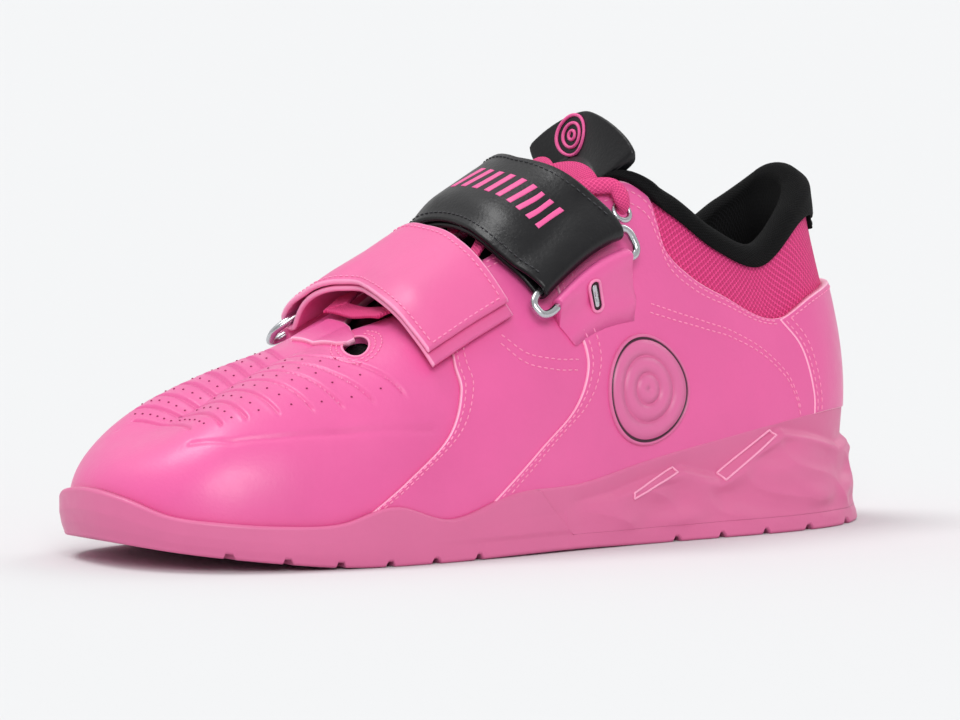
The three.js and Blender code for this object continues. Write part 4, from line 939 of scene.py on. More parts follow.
def cut_eye():
    """Cuts the eye's opening through the toe's leather."""
    at, run, over, normal = eye_frame()
    angle = circle(EYE_SIDES)[:, None]
    loop = at + run * np.cos(angle) + over * np.sin(angle)
    points = np.concatenate([loop + normal * EYE_CUT[0], loop - normal * EYE_CUT[1]])
    ends = [list(range(EYE_SIDES)), list(range(EYE_SIDES, 2 * EYE_SIDES))]
    cutter = bpy.data.meshes.new("eye_cutter")
    sides = grid_faces(2, EYE_SIDES, loop_j=True).tolist()
    cutter.from_pydata(to_scene(points), [], sides + ends)
    form = bmesh.new()
    form.from_mesh(cutter)
    bmesh.ops.recalc_face_normals(form, faces=form.faces)
    form.to_mesh(cutter)
    form.free()
    tool = add_object("eye_cutter", cutter)
    cut = toe.modifiers.new("eye", "BOOLEAN")
    cut.operation = "DIFFERENCE"
    cut.solver = "EXACT"
    cut.object = tool
    bpy.context.view_layer.update()
    toe_mesh = bpy.data.meshes.new_from_object(toe.evaluated_get(bpy.context.evaluated_depsgraph_get()))
    toe.modifiers.remove(cut)
    toe.data = toe_mesh
    bpy.data.objects.remove(tool)
    bpy.data.meshes.remove(cutter)


def dress_eye():
    """The eye's rim, the stitches round it and the mesh under it."""
    at, run, over, normal = eye_frame()
    place = face_frame(lambda u, v: skin(u, 1, v), EYE["row"], EYE["v"], (0, 1, 0))

    def around(more, turn):
        return place((EYE_WIDE + more) * np.cos(turn), (EYE_HIGH + more) * np.sin(turn), 0 * turn)

    angle = circle(EYE_POINTS)
    ups = np.tile(normal, (EYE_POINTS, 1))
    wire("eye_rim", around(0.1, angle), ups, 0.45, 8, thread_pink, "pink_leather")
    for more in EYE_SEWN:
        line = around(more, np.linspace(0.55, 2 * math.pi - 0.55, 60) + math.pi / 2)
        stitch("stitches_pink", line + normal * 0.1, np.tile(normal, (60, 1)), pitch=2.0, length=1.3)
    radius = np.linspace(0, 1.35, 10)[None, :, None]
    patch = at + radius * (run * np.cos(angle)[:, None, None] + over * np.sin(angle)[:, None, None])
    points = np.concatenate([patch - normal * EYE_BED[0], (patch - normal * EYE_BED[1])[:, ::-1]], 1)
    uv = np.stack([(points - at) @ unit(run), (points - at) @ unit(over)], -1)
    make("eye_mesh", points, [grid_faces(*points.shape[:2], loop_i=True)], black_mesh, "black_fabric", uvs=uv)


cut_eye()
dress_eye()

# The loop of leather across the throat's front end, beside the eye
FLAP_FRONT = 196.5
FLAP_BACK = (182.5, 190)
FLAP_SPAN = (-15, 19.5)

# The rows between which row_at looks, and how often it halves them
ROW_RANGE = (8.5, 10.9)
ROW_HALVINGS = 16


def row_at(x, a):
    """The row whose line over the instep reaches x at the arc distance a."""
    low, high = (np.full(np.shape(a), row) for row in ROW_RANGE)
    for _ in range(ROW_HALVINGS):
        middle = (low + high) / 2
        behind = arch_point(middle, a, 0.0)[..., 0] < x
        low, high = np.where(behind, middle, low), np.where(behind, high, middle)
    return high


def throat_flap():
    def surface(s, t, out):
        a = mix(*FLAP_SPAN, s)
        back = mix(*FLAP_BACK, smoothstep(s, 0.3, 0.95))
        wide = (FLAP_FRONT - back) * np.sqrt(1 - 0.85 * smoothstep(s, 0.78, 1) ** 2)
        return arch_point(row_at((FLAP_FRONT + back) / 2 + (t - 0.5) * wide, a), a, out)

    leaf("throat_flap", surface, 35, 14, -0.3, 1.4, pink_leather, "pink_leather")


throat_flap()

# The padded lining rolls over the collar's top edge and hangs down inside the wall.
LINING_ROW = 6.1
LINING_THIN = 5.3
LINING_LIFTS = [0.6, 0.7, 0.8, 0.9, 1.0]
LINING_PAD = [4.4, 6.2, 7.2, 6.4, 4.2]
ROLL = [[0.3, -0.5], [1.3, -0.62], [1.7, -0.1], [1.5, 0.42],
        [0.4, 0.82], [-1.6, 1.0], [-4.2, 0.95], [-6.4, 0.6]]
HEEL_OVERHANG = 1.3
LINING_HEIGHT = (4.6, 3.4)
LINING_GAP = 0.05
LINING_LOOP = 64
LINING_STEPS = 221


def closed_curve(points, count):
    """Resamples closed loops, points[..., k, :], on a smooth curve through their points."""
    size = points.shape[-2]
    place = np.linspace(0, size, count, endpoint=False)
    k = place.astype(int)
    return spline(*(points[..., (k + d) % size, :] for d in (-1, 0, 1, 2)), (place - k)[:, None])


def lining():
    rows = np.linspace(LINING_ROW, -LINING_ROW, LINING_STEPS)
    row, side = wrap(rows, 1.0)
    top, normal = skin(row, side, 1.0), skin_normal(row, side, 1.0)
    up = unit(top - skin(row, side, 0.9))
    front = smoothstep(row, LINING_THIN, LINING_ROW)
    height = (LINING_HEIGHT[0] + LINING_HEIGHT[1] * smoothstep(2 - row, 0, 2)) * (1 - 0.45 * front)
    shut = 1 - 0.4 * smoothstep(row, LINING_ROW - 0.25, LINING_ROW)
    loop = [skin_point(row, side, v, -wall_at(row, v) - LINING_GAP) for v in LINING_LIFTS]
    loop[-1] = loop[-1] + up * LINING_GAP
    hang = HEEL_OVERHANG * smoothstep(2 - row, 0, 1.5)
    cover = QUARTER_TOP * smoothstep(row, LINING_THIN - 0.3, LINING_THIN + 0.1)
    for out, share in ROLL:
        over = out * shut + (hang + cover) * (out > 1)
        drop = share * (1 + hang) if share < 0 else share
        loop.append(top + normal * over[:, None] + up * (LINING_GAP + drop * height * shut)[:, None])
    for v, pad in zip(LINING_LIFTS[::-1], LINING_PAD[::-1]):
        loop.append(skin_point(row, side, v, -wall_at(row, v) - LINING_GAP - pad * shut * (1 - 0.7 * front)))
    loops = closed_curve(np.stack(loop, 1), LINING_LOOP)
    uv = np.stack(np.meshgrid(rows * UV_PITCH[0], np.linspace(0, 100, LINING_LOOP), indexing="ij"), -1)
    piece = make("collar_lining", loops, rod_faces(*loops.shape[:2]), black_mesh, "black_fabric",
                 ["collar_lining"], uv)


lining()

# The tongue stands up past the top eyelets: its middle rises straight and its wings lean out.
TONGUE_END = 6.3
TONGUE_FRONT = 10.4
TONGUE_MARGIN = 13
TONGUE_UNDER = WALL + 0.6 + 2 * GAP
TONGUE_PAD = 5
TONGUE_EDGE = 1.6
TONGUE_PUFF = 2.6
TONGUE_STAND = 15
TONGUE_MIDDLE_RISE = np.array([-0.2, 0, 1])
TONGUE_WING_RISE = np.array([-0.4, 0.9, 0.7])
TONGUE_YAW = 0.3
TONGUE_HELD = 4
STAND_SHARE = 0.82
WALL_LEAN = {side: unit(skin(TONGUE_END, side, 1) - skin(TONGUE_END, side, 0.9)) for side in (1, -1)}
TONGUE_TIP = np.array([0, 0.002, 0.006, 0.012])
TONGUE_SIDE = 0.03
TONGUE_STEPS = (130, 61)


def tongue_surface(share, place, level):
    """share runs across from 1 to -1, place from 0 in front to 1 at the top, level from below to above."""
    share, place, level = even(share, place, level)
    lift = np.clip((place - STAND_SHARE) / (1 - STAND_SHARE), 0, 1)
    row = mix(TONGUE_FRONT, TONGUE_END, np.clip(place / STAND_SHARE, 0, 1))
    gap = np.maximum(1, half_gap(row))
    a = share * (gap + TONGUE_MARGIN)
    side = np.where(a < 0, -1.0, 1.0)
    puff = np.minimum(TONGUE_PUFF, gap * 0.2) * np.maximum(0, 1 - (a / gap) ** 2)
    full = (1 - share**4) * np.minimum(1, (RIDGE_ROW + 0.5 - row) / 2)
    pad = (TONGUE_EDGE + (TONGUE_PAD - TONGUE_EDGE) * full) * (1 - 0.3 * lift)
    point = arch_point(row, a, mix(-TONGUE_UNDER - pad, puff - TONGUE_UNDER, level))
    wing = smoothstep(np.abs(share), 0, 0.75)[..., None]
    free = mix(TONGUE_MIDDLE_RISE, TONGUE_WING_RISE, wing)
    yaw = TONGUE_YAW * wing[..., 0] * side
    free = np.stack([free[..., 0] - yaw, free[..., 1] * side, free[..., 2]], -1)
    wall = np.where(side[..., None] > 0, WALL_LEAN[1], WALL_LEAN[-1])
    reach = lift * TONGUE_STAND * (1 - 0.75 * share**4)
    held = np.minimum(reach, np.maximum(0, np.abs(a) - gap + TONGUE_HELD))
    return point + wall * held[..., None] + free * (reach - held)[..., None]


def tongue():
    tip = TONGUE_TIP[-1]
    ends = TONGUE_TIP[:-1]
    s = np.concatenate([ends, np.linspace(tip, 1 - tip, TONGUE_STEPS[0]), 1 - ends[::-1]])
    s, t = np.meshgrid(s, np.linspace(0, 1, TONGUE_STEPS[1]), indexing="ij")
    near = np.clip(np.minimum(np.minimum(s, 1 - s) / tip, np.minimum(t, 1 - t) / TONGUE_SIDE), 0, 1)
    half = 0.5 * np.sqrt(1 - (1 - near) ** 2)
    sheets = [tongue_surface(1 - 2 * t, s, 0.5 + half), tongue_surface(1 - 2 * t, s, 0.5 - half)]
    uv = np.stack([s * 120, t * 70], -1)
    piece = make("tongue", sheets, slab_faces(*s.shape), black_leather, "black_leather", ["tongue"], [uv, uv])


tongue()

# Plain raised rings on the front of the tongue
TONGUE_MARK = dict(u=-0.14, v=0.905)
TONGUE_RINGS = [[6.1, 7.1], [3.5, 4.5], [1.0, 2.0]]


def tongue_rings():
    frame_at = face_frame(lambda u, v: tongue_surface(u, v, 1.0), **TONGUE_MARK, outside=(1, 0, 0.3))
    at = smoothed(frame_at, 7)
    for k, (inner, outer) in enumerate(TONGUE_RINGS):
        turned(f"tongue_ring_{k}", at, annulus(inner, outer, -1.2, 0.65), mark_pink, "pink_leather")


tongue_rings()

# Straps: side is +1 where the ring sits on the outer side; row is the strap's place at the top of the instep.
STRAPS = {
    "upper": dict(side=1, row=7.5, bend=0.74, ring=51, tip=-48, peak=-10, rise=7.5, slant=6, curl=2.6),
    "lower": dict(side=-1, row=8.85, bend=0.56, ring=38, tip=-53, peak=8, rise=7.5, slant=6, curl=1.2),
}
STRAP_EASE = 20
STRAP_TILT = 0.5
STRAP_CLEAR = 2.5
ROW_LENGTH = 25
FOLD_INSIDE = WIRE / 2 + 1.6 * GAP
BAR_OUT = STRAP_CLEAR + STRAP_LAYER + FOLD_INSIDE
STRAP_MIDDLE = STRAP_LAYER / 2
STRAP_ROUND = 0.7
STRAP_FLAT = 24
STRAP_CORNER = 5
STRAP_PILLOW = 0.22
STRAP_SEWN = 2.0
THREAD_OUT = 0.12


def strap_point(strap, s, w, out):
    """A point on a strap's course: s along it from its middle, w across it, and out from the skin."""
    s, w, out = even(s, w, out)
    reach = np.abs(s)
    eased = reach + STRAP_EASE
    back = strap["bend"] * s * s / eased
    slope = STRAP_TILT * strap["bend"] * (s * s + 2 * STRAP_EASE * reach) / eased**2
    across = np.hypot(1, slope)
    row = strap["row"] + (w / across - back) / ROW_LENGTH
    return arch_point(row, strap["side"] * (s + np.sign(s) * w * slope / across), out)


def underside(strap, s):
    span = np.where(s > strap["peak"], strap["ring"] - strap["peak"], strap["peak"] - strap["tip"])
    share = np.minimum(1, np.abs(s - strap["peak"]) / span)
    return STRAP_CLEAR + strap["rise"] * np.maximum(0, np.cos(share * math.pi / 2)) ** 1.4


def strap_line(strap):
    """The strap's middle line in s and out: lower layer, fold round the bar, upper layer to the free end."""
    ring, tip = strap["ring"], strap["tip"]
    low_s = np.linspace(tip - 5, ring, 70)
    low = np.stack([low_s, underside(strap, low_s) + STRAP_MIDDLE], -1)
    angle = np.linspace(-math.pi / 2, math.pi / 2, 14)[1:-1]
    radius = FOLD_INSIDE + STRAP_MIDDLE
    fold = np.stack([ring + radius * np.cos(angle), BAR_OUT + radius * np.sin(angle)], -1)
    high_s = np.linspace(ring, tip, 90)
    near = smoothstep(high_s, ring - 16, ring)
    lift = underside(strap, high_s) + STRAP_LAYER + mix(0.5, 2 * FOLD_INSIDE, near)
    high = np.stack([high_s, lift + STRAP_MIDDLE], -1)
    return np.concatenate([low, fold, high]), len(low) + len(fold)


def strap_section():
    """The strap's section across: places w and heights h, with rounded sides."""
    half = STRAP_WIDTH / 2
    inner = half - STRAP_ROUND
    flat = np.linspace(-inner, inner, STRAP_FLAT)
    angle = np.linspace(-math.pi / 2, math.pi / 2, STRAP_CORNER + 2)[1:-1]
    cos, sin = STRAP_ROUND * np.cos(angle), STRAP_MIDDLE * np.sin(angle)
    w = np.concatenate([flat, inner + cos, flat[::-1], -inner - cos])
    thick = np.full(flat.shape, STRAP_MIDDLE)
    return w[None], np.concatenate([thick, -sin, -thick, sin])[None]


def strap(name, look, slot, group):
    """Builds a strap and its stitches; returns a function for points on its upper face."""
    lay = STRAPS[name]
    ring, tip = lay["ring"], lay["tip"]
    line, turn = strap_line(lay)
    run = np.gradient(line, axis=0)
    normal = unit(np.stack([-run[:, 1], run[:, 0]], -1))
    length = np.concatenate([[0], np.cumsum(np.linalg.norm(np.diff(line, axis=0), axis=1))])
    half = STRAP_WIDTH / 2
    w, h = strap_section()
    ends = np.sqrt(np.clip(1 - (1 - np.clip((length[-1] - length) / 0.9, 0, 1)) ** 2, 0.02, 1))[:, None]
    crown = np.cos(np.clip(w / (half - 2.6), -1, 1) * math.pi / 2)
    lean = h * ends + STRAP_PILLOW * np.sign(h) * crown * (np.abs(h) > 0.8)
    to_tip = np.clip((ring - line[:, :1]) / (ring - tip), 0, 1)

    def place(s, out, w, to_tip):
        free = smoothstep(ring - np.asarray(s), 6, 26) * smoothstep(np.asarray(s) - tip, 0, 16)
        curl = lay["curl"] * free * smoothstep(w, 4, half) ** 1.5
        return strap_point(lay, s + lay["slant"] * to_tip**4 * w / STRAP_WIDTH, w, out - curl)

    points = place(line[:, :1] - normal[:, :1] * lean, line[:, 1:] - normal[:, 1:] * lean, w, to_tip)
    ni, nj = points.shape[:2]
    step, middle = np.arange(nj // 2 + 1), nj - STRAP_CORNER // 2 - 1
    faces = rod_faces(ni, nj, (middle + step) % nj, (middle - step) % nj)
    uv = np.stack(np.broadcast_arrays(length[:, None], w), -1)
    tone = np.broadcast_to(np.abs(w) > half - 0.5, (ni, nj)) * 1.0
    make(f"strap_{name}", points, faces, look, slot, [f"strap_{name}"], uv, tone)
    s, out = line[turn:, 0], line[turn:, 1] + STRAP_MIDDLE + THREAD_OUT
    part = np.clip((ring - s) / (ring - tip), 0, 1)
    for edge in (STRAP_SEWN - half, half - STRAP_SEWN):
        on, over = place(s, out, edge, part), place(s, out + 1, edge, part)
        stitch(group, on[4:-3], (over - on)[4:-3])
    across = np.linspace(STRAP_SEWN - half, half - STRAP_SEWN, 30)
    s_end = s[-1] + 2.2
    o_end = np.interp(s_end, s[::-1], out[::-1])
    on, over = place(s_end, o_end, across, 0.96), place(s_end, o_end + 1, across, 0.96)
    stitch(group, on, over - on)

    def on_strap(s_at, w_at, more):
        return place(s_at, np.interp(s_at, s[::-1], out[::-1]) - THREAD_OUT + more, w_at, 0 * s_at)

    return on_strap


# A plain row of slanted bars along the upper strap
BARS = 9
BAR_PITCH = 5.2
BAR_FIRST = -9
BAR_SIZE = (2.3, 8.5)
BAR_SLANT = 2.6


def strap_bars(on_strap):
    for k in range(BARS):
        middle = BAR_FIRST + k * BAR_PITCH

        def surface(s, t, out):
            w = (t - 0.5) * BAR_SIZE[1] - 1.5
            return on_strap(middle + (s - 0.5) * BAR_SIZE[0] - w * BAR_SLANT / BAR_SIZE[1], w, out)

        leaf(f"strap_bar_{k}", surface, BAR_SIZE[0], BAR_SIZE[1], -0.1, 0.45, mark_pink, "pink_leather",
             round_off=0.3)


strap_bars(strap("upper", black_leather, "black_leather", "stitches_black"))
strap("lower", strap_leather, "pink_leather", "stitches_pink")

# The wire rings and the keepers that hold them
RING_ROUND = 3.6
RING_OVER = 3.7
KEEPER_LAYER = 1.3
KEEPER_LENGTH = 17
KEEPER_SOLE = 1.1
KEEPER_ROUND = 0.8
KEEPER_EDGE = np.array([0, 0.1, 0.35])
RING_SIDES = 16

# The slot behind the ring's bar: its middle past the bar, its place across, its length and its width
SLOT_MIDDLE = 6.7
SLOT_ACROSS = 3.0
SLOT_LENGTH = 9
SLOT_WIDTH = 3.0
SLOT_POINTS = 48


def ring(name):
    lay = STRAPS[name]
    across = STRAP_WIDTH / 2 + RING_OVER - RING_ROUND
    near, far = lay["ring"] + RING_ROUND, lay["ring"] + RING_REACH - RING_ROUND
    side = np.linspace(across, -across, 18)[1:-1]
    path = []
    for s, w, turn in ((far, across, 0), (near, across, 0.5), (near, -across, 1.0), (far, -across, 1.5)):
        for angle in np.linspace(turn, turn + 0.5, 9) * math.pi:
            path.append([s + RING_ROUND * math.cos(angle), w + RING_ROUND * math.sin(angle)])
        if turn == 0.5:
            path += [[lay["ring"], x] for x in side]
    path += [[lay["ring"] + RING_REACH, -x] for x in side]
    s, w = np.array(path).T
    centres = strap_point(lay, s, w, BAR_OUT)
    ups = strap_point(lay, s, w, BAR_OUT + 1) - centres
    wire(f"ring_{name}", centres, ups, WIRE / 2, RING_SIDES, steel, "ring_steel", [f"ring_{name}"])


def keeper_top(bar):
    """The keeper's upper line behind the bar, as places along the strap and heights out from the skin."""
    crest = BAR_OUT + FOLD_INSIDE + KEEPER_LAYER
    return [[bar, crest], [bar + 3, crest - 1.0], [bar + 7, STRAP_CLEAR + 2.4], [bar + 12, STRAP_CLEAR + 0.6],
            [bar + KEEPER_LENGTH, STRAP_CLEAR - 0.3]]


def keeper(name):
    lay = STRAPS[name]
    bar = lay["ring"] + RING_REACH
    outline = [[bar + s, KEEPER_SOLE] for s in (KEEPER_LENGTH, 12, 7, 3)] + [[bar, STRAP_CLEAR]]
    wide, high = FOLD_INSIDE + KEEPER_LAYER, BAR_OUT - STRAP_CLEAR - 0.4
    for angle in -math.pi / 2 - np.linspace(0, math.pi, 14)[1:-1]:
        outline.append([bar + wide * math.cos(angle), BAR_OUT + high * math.sin(angle)])
    outline = np.array(outline + keeper_top(bar))
    middle = outline.mean(0)
    half = STRAP_WIDTH / 2 - 1
    flat, side = half - KEEPER_ROUND, half - KEEPER_EDGE
    w = np.concatenate([-side, np.linspace(-flat, flat, 22), side[::-1]])
    near = np.clip((half - np.abs(w)) / KEEPER_ROUND, 0, 1)
    inset = 1 - 0.06 * (1 - np.sqrt(np.clip(1 - (1 - near) ** 2, 0, 1)))
    s, out = (middle[k] + (outline[None, :, k] - middle[k]) * inset[:, None] for k in (0, 1))
    foot = smoothstep(s, bar - 0.5, bar + 7)
    sink = foot * (np.abs(w[:, None]) / half) ** 2
    out = np.where(out > KEEPER_SOLE + 0.3, mix(out, KEEPER_SOLE + 0.9, sink), out)
    points = strap_point(lay, s, w[:, None] * (1 + 0.1 * foot), out)
    uv = np.stack(np.broadcast_arrays(s, w[:, None]), -1)
    name = f"ring_keeper_{name}"
    make(name, points, rod_faces(*points.shape[:2]), pink_leather, "pink_leather", [name], uv)


def keeper_slot(name):
    """The oblong slot behind the ring's bar: a raised welt, a dark bed painted as the slot's shadow and the
    steel that shows in it.
    """
    lay = STRAPS[name]
    bar = lay["ring"] + RING_REACH
    places, heights = np.array(keeper_top(bar)).T
    middle = bar + SLOT_MIDDLE
    angle = circle(SLOT_POINTS)
    round_end = np.sign(np.cos(angle)) * (SLOT_LENGTH - SLOT_WIDTH) / 2

    def oblong(grow, share, out):
        half = SLOT_WIDTH / 2 + grow
        s = middle + (round_end + half * np.cos(angle)) * share
        w = SLOT_ACROSS + half * np.sin(angle) * share
        return strap_point(lay, s, w, np.interp(s, places, heights) + out)

    centres = oblong(0.35, 1, 0.15)
    ups = oblong(0.35, 1, 1.15) - centres
    wire(f"slot_welt_{name}", centres, ups, 0.5, 10, pink_leather, "pink_leather", tone=0.35)
    for word, grow, high, look, slot in (("bed", 0.2, 0.12, dark_slot, "black_leather"),
                                         ("steel", -0.75, 0.3, steel, "ring_steel")):
        steps = ((0.02, high), (0.6, high), (0.9, high - 0.05), (1.0, high - 0.4), (0.02, -0.6))
        rings = np.stack([oblong(grow, share, out) for share, out in steps], 1)
        make(f"slot_{word}_{name}", rings, [grid_faces(*rings.shape[:2], True, True)], look, slot)


for name in STRAPS:
    ring(name)
    keeper(name)
    keeper_slot(name)

# The lace's flat lengths cross over the tongue, down from the top eyelets.
LACE_WIDTH = 6
LACE_LOW = QUARTER_TOP + GAP
LACE_THICK = 1.1
LACE_TURNS = [6.3, 7.15, 8, 8.85]
LACE_BAR = 9.28
LACE_BAR_X = 178.5
LACE_REACH = 3.5
LACE_END_STEPS = 50
LACE_END_SIDES = 20


def lace_length(name, start, end, lift, nodes=()):
    (row_a, a), (row_b, b) = start, end
    run, over = (row_b - row_a) * ROW_LENGTH, b - a
    length = math.hypot(run, over)

    def surface(s, t, out):
        w = (t - 0.5) * LACE_WIDTH
        row = mix(row_a, row_b, s) - w * over / length / ROW_LENGTH
        return arch_point(row, mix(a, b, s) + w * run / length, out)

    low = LACE_LOW + lift
    leaf(name, surface, length, LACE_WIDTH, low, low + LACE_THICK, lace_cloth, "pink_mesh", nodes,
         round_off=0.45, uv_size=(length, LACE_WIDTH))


def lace_edge(row):
    return float(half_gap(row)) + LACE_REACH


def laces():
    for k, (high, low) in enumerate(zip(LACE_TURNS[:-1], LACE_TURNS[1:])):
        top, end = lace_edge(high), lace_edge(low)
        lace_length(f"lace_over_{k}", (high, top), (low, -end), 0, ["laces"] if k == 0 else [])
        lace_length(f"lace_under_{k}", (high, -top), (low, end), 0.6)
    last = LACE_TURNS[-1]
    for side, word in SIDES:
        ends = [(row, side * lace_edge(row)) for row in (last, LACE_BAR)]
        lace_length(f"lace_side_{word}", *ends, 0.3)
    reach = lace_edge(LACE_BAR) + LACE_WIDTH / 2

    def bar(s, t, out):
        a = mix(reach, -reach, s)
        return arch_point(row_at(LACE_BAR_X + (t - 0.5) * LACE_WIDTH, a), a, out)

    leaf("lace_bar", bar, 2 * reach, LACE_WIDTH, LACE_LOW, LACE_LOW + LACE_THICK, lace_cloth, "pink_mesh",
         round_off=0.45, uv_size=(2 * reach, LACE_WIDTH))


laces()

EYELET = dict(row=5.76, v=0.85)


def lace_ends():
    """The round, slack lace between each top eyelet and the first crossing."""
    for side, word in SIDES:
        edge, turn = lace_edge(LACE_TURNS[0]), LACE_TURNS[0]
        stops = [skin_point(EYELET["row"], side, EYELET["v"], QUARTER_TOP - 1.0),
                 skin_point(EYELET["row"] + 0.05, side, EYELET["v"] + 0.02, QUARTER_TOP + 2.2),
                 skin_point(6.0, side, 0.93, QUARTER_TOP + 2.6),
                 arch_point(turn + 0.1, side * (edge - 1), LACE_LOW + 2.2),
                 arch_point(turn + 0.4, side * (edge - 9), LACE_LOW + 2.0)]
        path = chain(stops)(np.linspace(0, 1, LACE_END_STEPS))
        tangent = unit(np.gradient(path, axis=0))
        up = skin_normal(6.0, side, 0.93)
        up = unit(up - tangent * (tangent @ up)[:, None])
        flat = np.cross(tangent, up)
        angle = circle(LACE_END_SIDES)[None, :, None]
        wide = mix(1.6, 2.9, smoothstep(np.linspace(0, 1, LACE_END_STEPS), 0, 0.4))[:, None, None]
        loops = path[:, None] + flat[:, None] * np.cos(angle) * wide + up[:, None] * np.sin(angle) * 1.35
        size = loops.shape[:2]
        uv = np.meshgrid(np.linspace(0, 30, size[0]), np.linspace(0, 12, size[1]), indexing="ij")
        make(f"lace_end_{word}", loops, rod_faces(*size), lace_cloth, "pink_mesh", uvs=np.stack(uv, -1))


lace_ends()

# Small round pieces on the skin
BADGE = dict(row=5.06, v=0.275)
BADGE_RADIUS = 17
ON_QUARTER = QUARTER_TOP + 0.02
EYELET_PROFILE = [[1.7, -0.6], [3.4, -0.2], [3.6, 0], [3.5, 0.4],
                  [3.1, 0.75], [2.6, 0.88], [2.2, 0.75], [1.9, 0.3]]


def skin_frame(side, row, v):
    return face_frame(lambda u, w: skin(u, side, w), row, v, (0, side, 0))


for side, word in SIDES:
    profile = [[r, ON_QUARTER + out] for r, out in EYELET_PROFILE]
    turned(f"eyelet_{word}", skin_frame(side, **EYELET), profile, steel, "ring_steel", [f"eyelet_{word}"])

# The badge: a thin disc with round grooves, the outermost one's bed painted dark as shade
BADGE_FACE = 0.9
BADGE_GROOVES = [[15.1, 16.1], [9.6, 10.8], [4.2, 5.4]]
GROOVE_DEPTH = 0.55
SHADED_FROM = 12


def badge():
    profile, marks = [[0.02, -0.9]], []
    for inset, out in ((0, -0.9), (0, 0.3), (0.2, 0.7), (0.5, BADGE_FACE)):
        profile.append([BADGE_RADIUS - inset, out])
    for inner, outer in BADGE_GROOVES:
        first = len(profile)
        bed = BADGE_FACE - GROOVE_DEPTH
        profile += [[outer, BADGE_FACE], [outer - 0.15, bed], [inner + 0.15, bed], [inner, BADGE_FACE]]
        # The outer groove's bed takes the dark colour: painted shade
        if outer > SHADED_FROM:
            marks += [first + 1, first + 2]
    profile.append([0.02, BADGE_FACE])
    profile = [[r, ON_QUARTER + out] for r, out in profile]
    at = smoothed(skin_frame(1, **BADGE), BADGE_RADIUS)
    turned("side_badge", at, profile, badge_rubber, "sole_pink", ["side_badge"], count=96, marks=marks)


badge()


# The sole: the outsole and the heel wedge are parts of one side wall, divided at the seam.
LIP = 3
BAND = 0.7
RELIEF = 2.5
RELIEF_FRONT = 6.25
SKYLINE = np.array([[0, 24.5], [1, 26], [1.75, 24.5], [2.5, 29], [3, 31], [4, 18.2], [4.5, 21.6], [5.5, 15.2],
                    [6.25, 14]])
SEAM_TOP = [153, 26]
SEAM_BOTTOM = [134, TREAD_LAYER]
SKY_DROP = 4
WALL_BLUR = (-0.4, -0.2, 0, 0.2, 0.4)
GROOVES = [20, 38, 56, 74, 92, 172, 188, 204, 220, 236, 252]
TREAD_DEPTH = 1.6
TREAD_HALF = 1.5
TREAD_SLOPE = 0.5
SEAM_ROW = 6.69
SEAM_GAP = 0.4
SEAM_PROUD = 0.6
LIP_TOP = [[0.05, 0.75], [0.3, 0.3], [0.65, 0.06], [1.1, 0.0]]
WEDGE_STEPS = 659
WEDGE_LEVELS = 60
SOLE_STEPS = [150, 80, 300]
SOLE_LEVELS = 48
SEAM_INSET = 3
SOLE_EDGE = 1.0


def skyline(row, edge):
    """The height of the relief's upper line, always below the rim."""
    return np.minimum(np.interp(row, SKYLINE[:, 0], SKYLINE[:, 1]), edge - SKY_DROP)


def side_offset(row, z, flare, edge, lift):
    """How far the side wall stands out from the feather line at a height."""
    carved = row < RELIEF_FRONT
    sky = np.where(carved, skyline(row, edge), lift + 0.6 * (edge - lift))
    depth = RELIEF * smoothstep(RELIEF_FRONT - row, 0, 1)
    inset = LIP - BAND * smoothstep(RELIEF_FRONT - row, 0, 0.3)
    heights = [lift + 1, lift + 0.5 * (sky - lift), sky - 0.4, sky + 0.6 + 0.5 * depth, edge - 1]
    offsets = [flare, 0.4 * flare + 0.6 * (inset + depth), inset + depth, inset, np.full(row.shape, LIP)]
    result = offsets[0] * np.ones(z.shape)
    for k in range(4):
        t = np.clip((z - heights[k]) / np.maximum(heights[k + 1] - heights[k], 0.05), 0, 1)
        result = np.where(z > heights[k], mix(offsets[k], offsets[k + 1], t), result)
    return result


def draped(row, z, edge):
    """Soft folds that hang from the skyline over the relief of the heel."""
    sky = skyline(row, edge)
    below = smoothstep(sky - z, 0.3, 3) * smoothstep(z, 2, 9) * smoothstep(RELIEF_FRONT - row, 0, 1)
    sway = 1.2 * np.sin(row * 2.3 + 0.21 * z) + 0.5 * np.sin(row * 5.1 - 0.33 * z)
    hang = np.sin(row * 4.4 + 0.14 * z + sway)
    ledge = np.sin(0.36 * z - row * 1.5 + 0.8 * sway)
    fold = 1 - np.abs(np.sin(row * 3.1 - 0.24 * z + 0.7 * sway))
    return below * (0.6 * hang + 0.6 * ledge + 0.7 * fold - 0.35)


def groove_lift(x):
    lift = np.zeros(np.shape(x))
    for centre in GROOVES:
        lift = np.maximum(lift, TREAD_DEPTH * smoothstep(TREAD_HALF - np.abs(x - centre), 0, TREAD_SLOPE))
    return lift


def wall_face(row, side, z, out=0.0):
    """Points of the sole's side wall at a row and a height."""
    row, own, z = even(row, side, z)
    row, own = wrap(row, own)
    flare, edge = sole_value("flare", row, own), sole_value("edge", row, own)
    lift = np.maximum(0, sole_value("lift", row, own))
    offset = np.asarray(out) + draped(row, z, edge)
    for shift in WALL_BLUR:
        offset = offset + side_offset(row, z + shift, flare, edge, lift) / len(WALL_BLUR)
    point = base_point(row, own) + outward(row, own) * offset[..., None]
    point[..., 2] = z
    return point


def levels(low, high, count):
    """Heights from low to high at each row."""
    return mix(low[:, None], high[:, None], np.linspace(0, 1, count)[None])


def seam_height(x):
    return np.interp(x, [SEAM_BOTTOM[0], SEAM_TOP[0]], [SEAM_BOTTOM[1], SEAM_TOP[1]])


